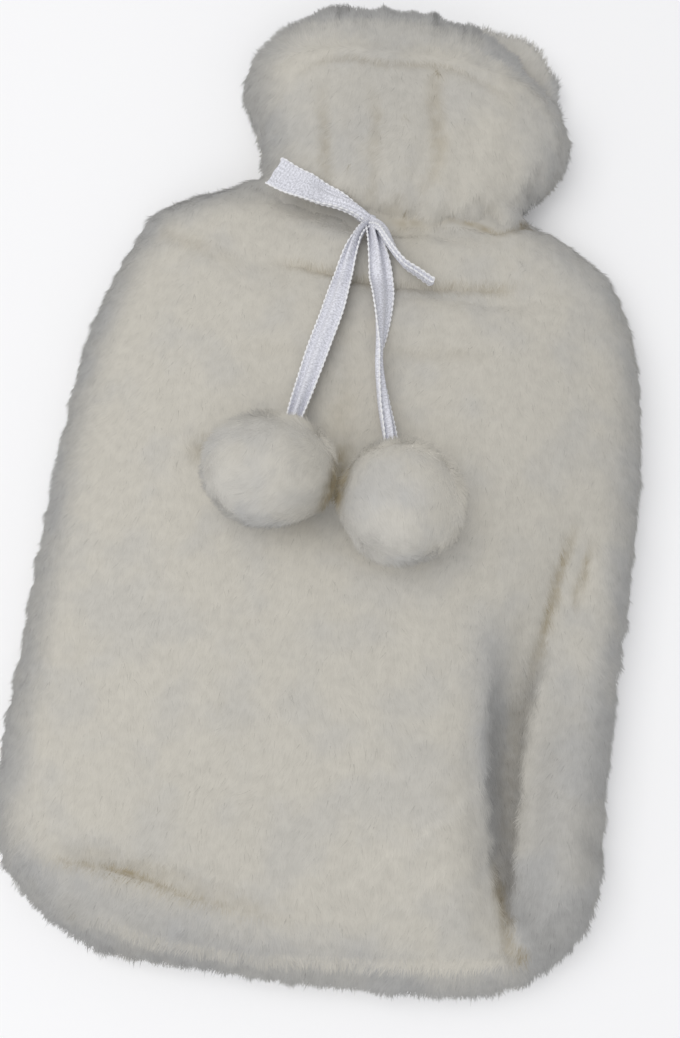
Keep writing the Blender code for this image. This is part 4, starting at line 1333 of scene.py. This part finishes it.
def sheet_points(frames, width, shares):
    """Points of the ribbon's face at shares across it from -1 to 1, pleated where the
    ribbon is drawn together."""
    middle, across, facing, shown = frames
    s = np.asarray(shares)[None, :, None]
    shown = shown[:, None, None]
    pleat = PLEAT_DEPTH * (1 - shown) * np.cos(PLEATS * np.pi * s) - STRIP_SAG * (1 - s * s)
    half = shown * width / 2
    return middle[:, None] + across[:, None] * half * s + facing[:, None] * pleat


def satin_strip(name, frames, sizes, material):
    """A length of satin ribbon."""
    bm = bmesh.new()
    uv = bm.loops.layers.uv.new("cloth")
    points = sheet_points(frames, sizes.width, np.linspace(-1, 1, STRIP_COLUMNS + 1))
    grid_through(bm, points, uv, (sizes.width / 2, step_lengths(frames[0]).sum()))
    strip = object_from(name, bm, material)
    solid = strip.modifiers.new("thickness", "SOLIDIFY")
    solid.thickness, solid.offset = sizes.thickness, 0
    return applied(strip)


def beaded_edges(name, frames, sizes, material):
    """Both edges of a length of ribbon: fine round cords of beads."""
    bm = bmesh.new()
    for side in (-1, 1):
        edge = sheet_points(frames, sizes.width, [side])[:, 0]
        along = np.concatenate([[0], np.cumsum(step_lengths(edge))])
        beads = max(2, round(along[-1] / sizes.bead))
        at = np.linspace(0, along[-1], beads * ROWS_PER_BEAD + 1)
        centre, across, facing = (
            np.stack([np.interp(at, along, column) for column in value.T], 1)[:, None]
            for value in (edge, frames[1], frames[2])
        )
        wave = np.sin(np.arange(len(at)) / ROWS_PER_BEAD * np.pi) ** 2
        radius = ((EDGE_THIN + EDGE_SWELL * wave) * sizes.bead)[:, None, None]
        turn = np.linspace(0, 2 * np.pi, EDGE_SIDES + 1)[None, :, None]
        ring = unit(across) * np.cos(turn) + unit(facing) * np.sin(turn)
        grid_through(bm, centre + radius * ring)
    close_tube(bm)
    return object_from(name, bm, material)


def neck_band(material):
    """The ribbon bunched round the neck, down in the crease that it draws the cloth into."""
    tree = tree_of("front_skin", "back_skin")
    line = np.array(CREASE_LINE)
    half_wide = (line[-1, 0] - line[0, 0]) / 2
    middle_x = (line[-1, 0] + line[0, 0]) / 2
    route = []
    for angle in np.linspace(0, 2 * np.pi, BAND_STEPS, endpoint=False):
        x = half_wide * math.cos(angle)
        y = float(through(line[:, 0] - middle_x, line[:, 1], x))
        way = Vector((math.cos(angle) / half_wide, 0, math.sin(angle) / NECK_HALF_HEIGHT))
        way.normalize()
        seat = Vector((x + middle_x, y, NECK_SEAM + NECK_HALF_HEIGHT * math.sin(angle)))
        start = seat + way * NECK_REACH
        distance = tree.ray_cast(start, -way)[3] or NECK_REACH
        route.append((*(start - way * (distance + BAND_SINK)), *way))
    ends = BAND_SMOOTH // 2
    route, kernel = np.array(route[-ends:] + route + route[:ends]), np.ones(BAND_SMOOTH)
    route = np.stack(
        [np.convolve(column, kernel / BAND_SMOOTH, mode="valid") for column in route.T], 1
    )
    route = np.vstack([route, route[:1]])
    way = unit(route[:, 3:])[:, None]
    turn = np.linspace(0, 2 * np.pi, BAND_SIDES + 1)[None, :, None]
    ripple = 1 + BAND_PLEAT * np.cos(BAND_PLEATS * turn)
    level = np.array([0.0, 1.0, 0.0])
    bm = bmesh.new()
    grid_through(bm, route[:, None, :3] + ripple * (
        level * BAND_HALF_WIDTH * np.cos(turn) + way * BAND_HALF_DEPTH * np.sin(turn)
    ))
    close_tube(bm)
    return object_from("ribbon_band", bm, material)


def bow_knot(tree, material):
    """The bow's knot: a small round lump with the pleats of the ribbon round it."""
    x, y, lift = (value / TENTHS for value in (*KNOT, KNOT_LIFT))
    centre = Vector((x, y, height_at(tree, x, y) + lift))
    bm = bmesh.new()
    bmesh.ops.create_icosphere(bm, subdivisions=KNOT_LEVELS, radius=1)
    for vert in bm.verts:
        around = KNOT_TWIST * math.sin(math.atan2(vert.co.z, vert.co.x))
        fold = 1 + KNOT_PLEAT * math.cos(KNOT_PLEATS * vert.co.y + around)
        squared = vert.co.copy()
        squared.y = math.copysign(abs(squared.y) ** KNOT_SQUARE, squared.y)
        vert.co = centre + Vector(s * h * fold for s, h in zip(squared, KNOT_HALF))
    return object_from("ribbon_knot", bm, material)


class COVER_OT_ribbon(Operator):
    """Tie the satin ribbon: the band, the knot, two loops and two tails"""

    bl_idname = "cover.ribbon"
    bl_label = "Ribbon"

    def execute(self, context):
        sizes = context.scene.cover_ribbon
        satin, edging = satin_material(), edge_material()
        tree = tree_of("front_panel")
        lengths = {
            "ribbon_left_tail": frames_of(LEFT_TAIL, tree),
            "ribbon_right_tail": frames_of(RIGHT_TAIL, tree),
            "ribbon_left_loop": loop_frames(LEFT_LOOP, LEFT_GAP, tree),
            "ribbon_right_loop": loop_frames(RIGHT_LOOP, RIGHT_GAP, tree),
        }
        pieces = [neck_band(satin), bow_knot(tree, satin)]
        for name, frames in lengths.items():
            strip = satin_strip(name, frames, sizes, satin)
            edges = beaded_edges(f"{name}_edges", frames, sizes, edging)
            pieces += [strip, edges]
        for piece in pieces:
            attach(piece, "root")
        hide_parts("ribbon_tie")
        return {"FINISHED"}


# Stage


class COVER_OT_stage(Operator):
    """Set the pale floor, the soft studio light and the camera"""

    bl_idname = "cover.stage"
    bl_label = "Stage"

    def execute(self, context):
        scene = context.scene
        bm = bmesh.new()
        bmesh.ops.create_grid(bm, x_segments=1, y_segments=1, size=FLOOR_HALF)
        floor = object_from("floor", bm, new_material("pale floor", FLOOR_FINISH)[0])
        scene.world = bpy.data.worlds.new("studio")
        scene.world.use_nodes = True
        background = scene.world.node_tree.nodes["Background"]
        background.inputs["Color"].default_value = WORLD_COLOUR
        background.inputs["Strength"].default_value = WORLD_LIGHT
        for name, (place, size, power, colour) in LAMPS.items():
            light = bpy.data.lights.new(name, "AREA")
            light.energy, light.size, light.color = power, size, colour
            lamp = bpy.data.objects.new(name, light)
            turn = Vector(place).to_track_quat("Z", "Y").to_matrix().to_4x4()
            lamp.matrix_world = Matrix.Translation(place) @ turn
            scene.collection.objects.link(lamp)
        back = Vector((0, -math.sin(CAMERA_LEAN), math.cos(CAMERA_LEAN)))
        above = Vector((0, math.cos(CAMERA_LEAN), math.sin(CAMERA_LEAN)))
        side = Vector((1, 0, 0))
        right = side * math.cos(CAMERA_TURN) + above * math.sin(CAMERA_TURN)
        up = above * math.cos(CAMERA_TURN) - side * math.sin(CAMERA_TURN)
        camera = bpy.data.objects.new("camera", bpy.data.cameras.new("camera"))
        camera.data.lens, camera.data.sensor_fit = CAMERA_LENS, "VERTICAL"
        camera.data.sensor_height, camera.data.clip_start = SENSOR_HEIGHT, CLIP_START
        camera.matrix_world = Matrix.Translation(CAMERA_AIM + back * CAMERA_AWAY) @ Matrix(
            (right, up, back)
        ).transposed().to_4x4()
        scene.collection.objects.link(camera)
        scene.camera = camera
        scene.view_settings.view_transform = "Standard"
        return {"FINISHED"}


class COVER_PT_sidebar(Panel):
    """Lists the cover's pieces in the 3D view's sidebar."""

    bl_label = "Hot Water Bottle Cover"
    bl_space_type = "VIEW_3D"
    bl_region_type = "UI"
    bl_category = "Cover"

    def draw(self, context):
        scene = context.scene
        for group in (scene.cover_pile, scene.cover_colours, scene.cover_ribbon):
            for name in group.__annotations__:
                self.layout.prop(group, name)
        for operator in OPERATORS:
            self.layout.operator(operator.bl_idname)


OPERATORS = (
    COVER_OT_back_panel, COVER_OT_front_panel, COVER_OT_pompoms, COVER_OT_ribbon,
    COVER_OT_stage,
)
CLASSES = (PileSizes, PileColours, RibbonSizes, *OPERATORS, COVER_PT_sidebar)


def register():
    for item in CLASSES:
        bpy.utils.register_class(item)
    bpy.types.Scene.cover_pile = PointerProperty(type=PileSizes)
    bpy.types.Scene.cover_colours = PointerProperty(type=PileColours)
    bpy.types.Scene.cover_ribbon = PointerProperty(type=RibbonSizes)


def unregister():
    del bpy.types.Scene.cover_pile
    del bpy.types.Scene.cover_colours
    del bpy.types.Scene.cover_ribbon
    for item in reversed(CLASSES):
        bpy.utils.unregister_class(item)


def main():
    register()
    bpy.ops.cover.back_panel()
    bpy.ops.cover.front_panel()
    bpy.ops.cover.pompoms()
    bpy.ops.cover.ribbon()
    bpy.ops.cover.stage()


if __name__ == "__main__":
    main()
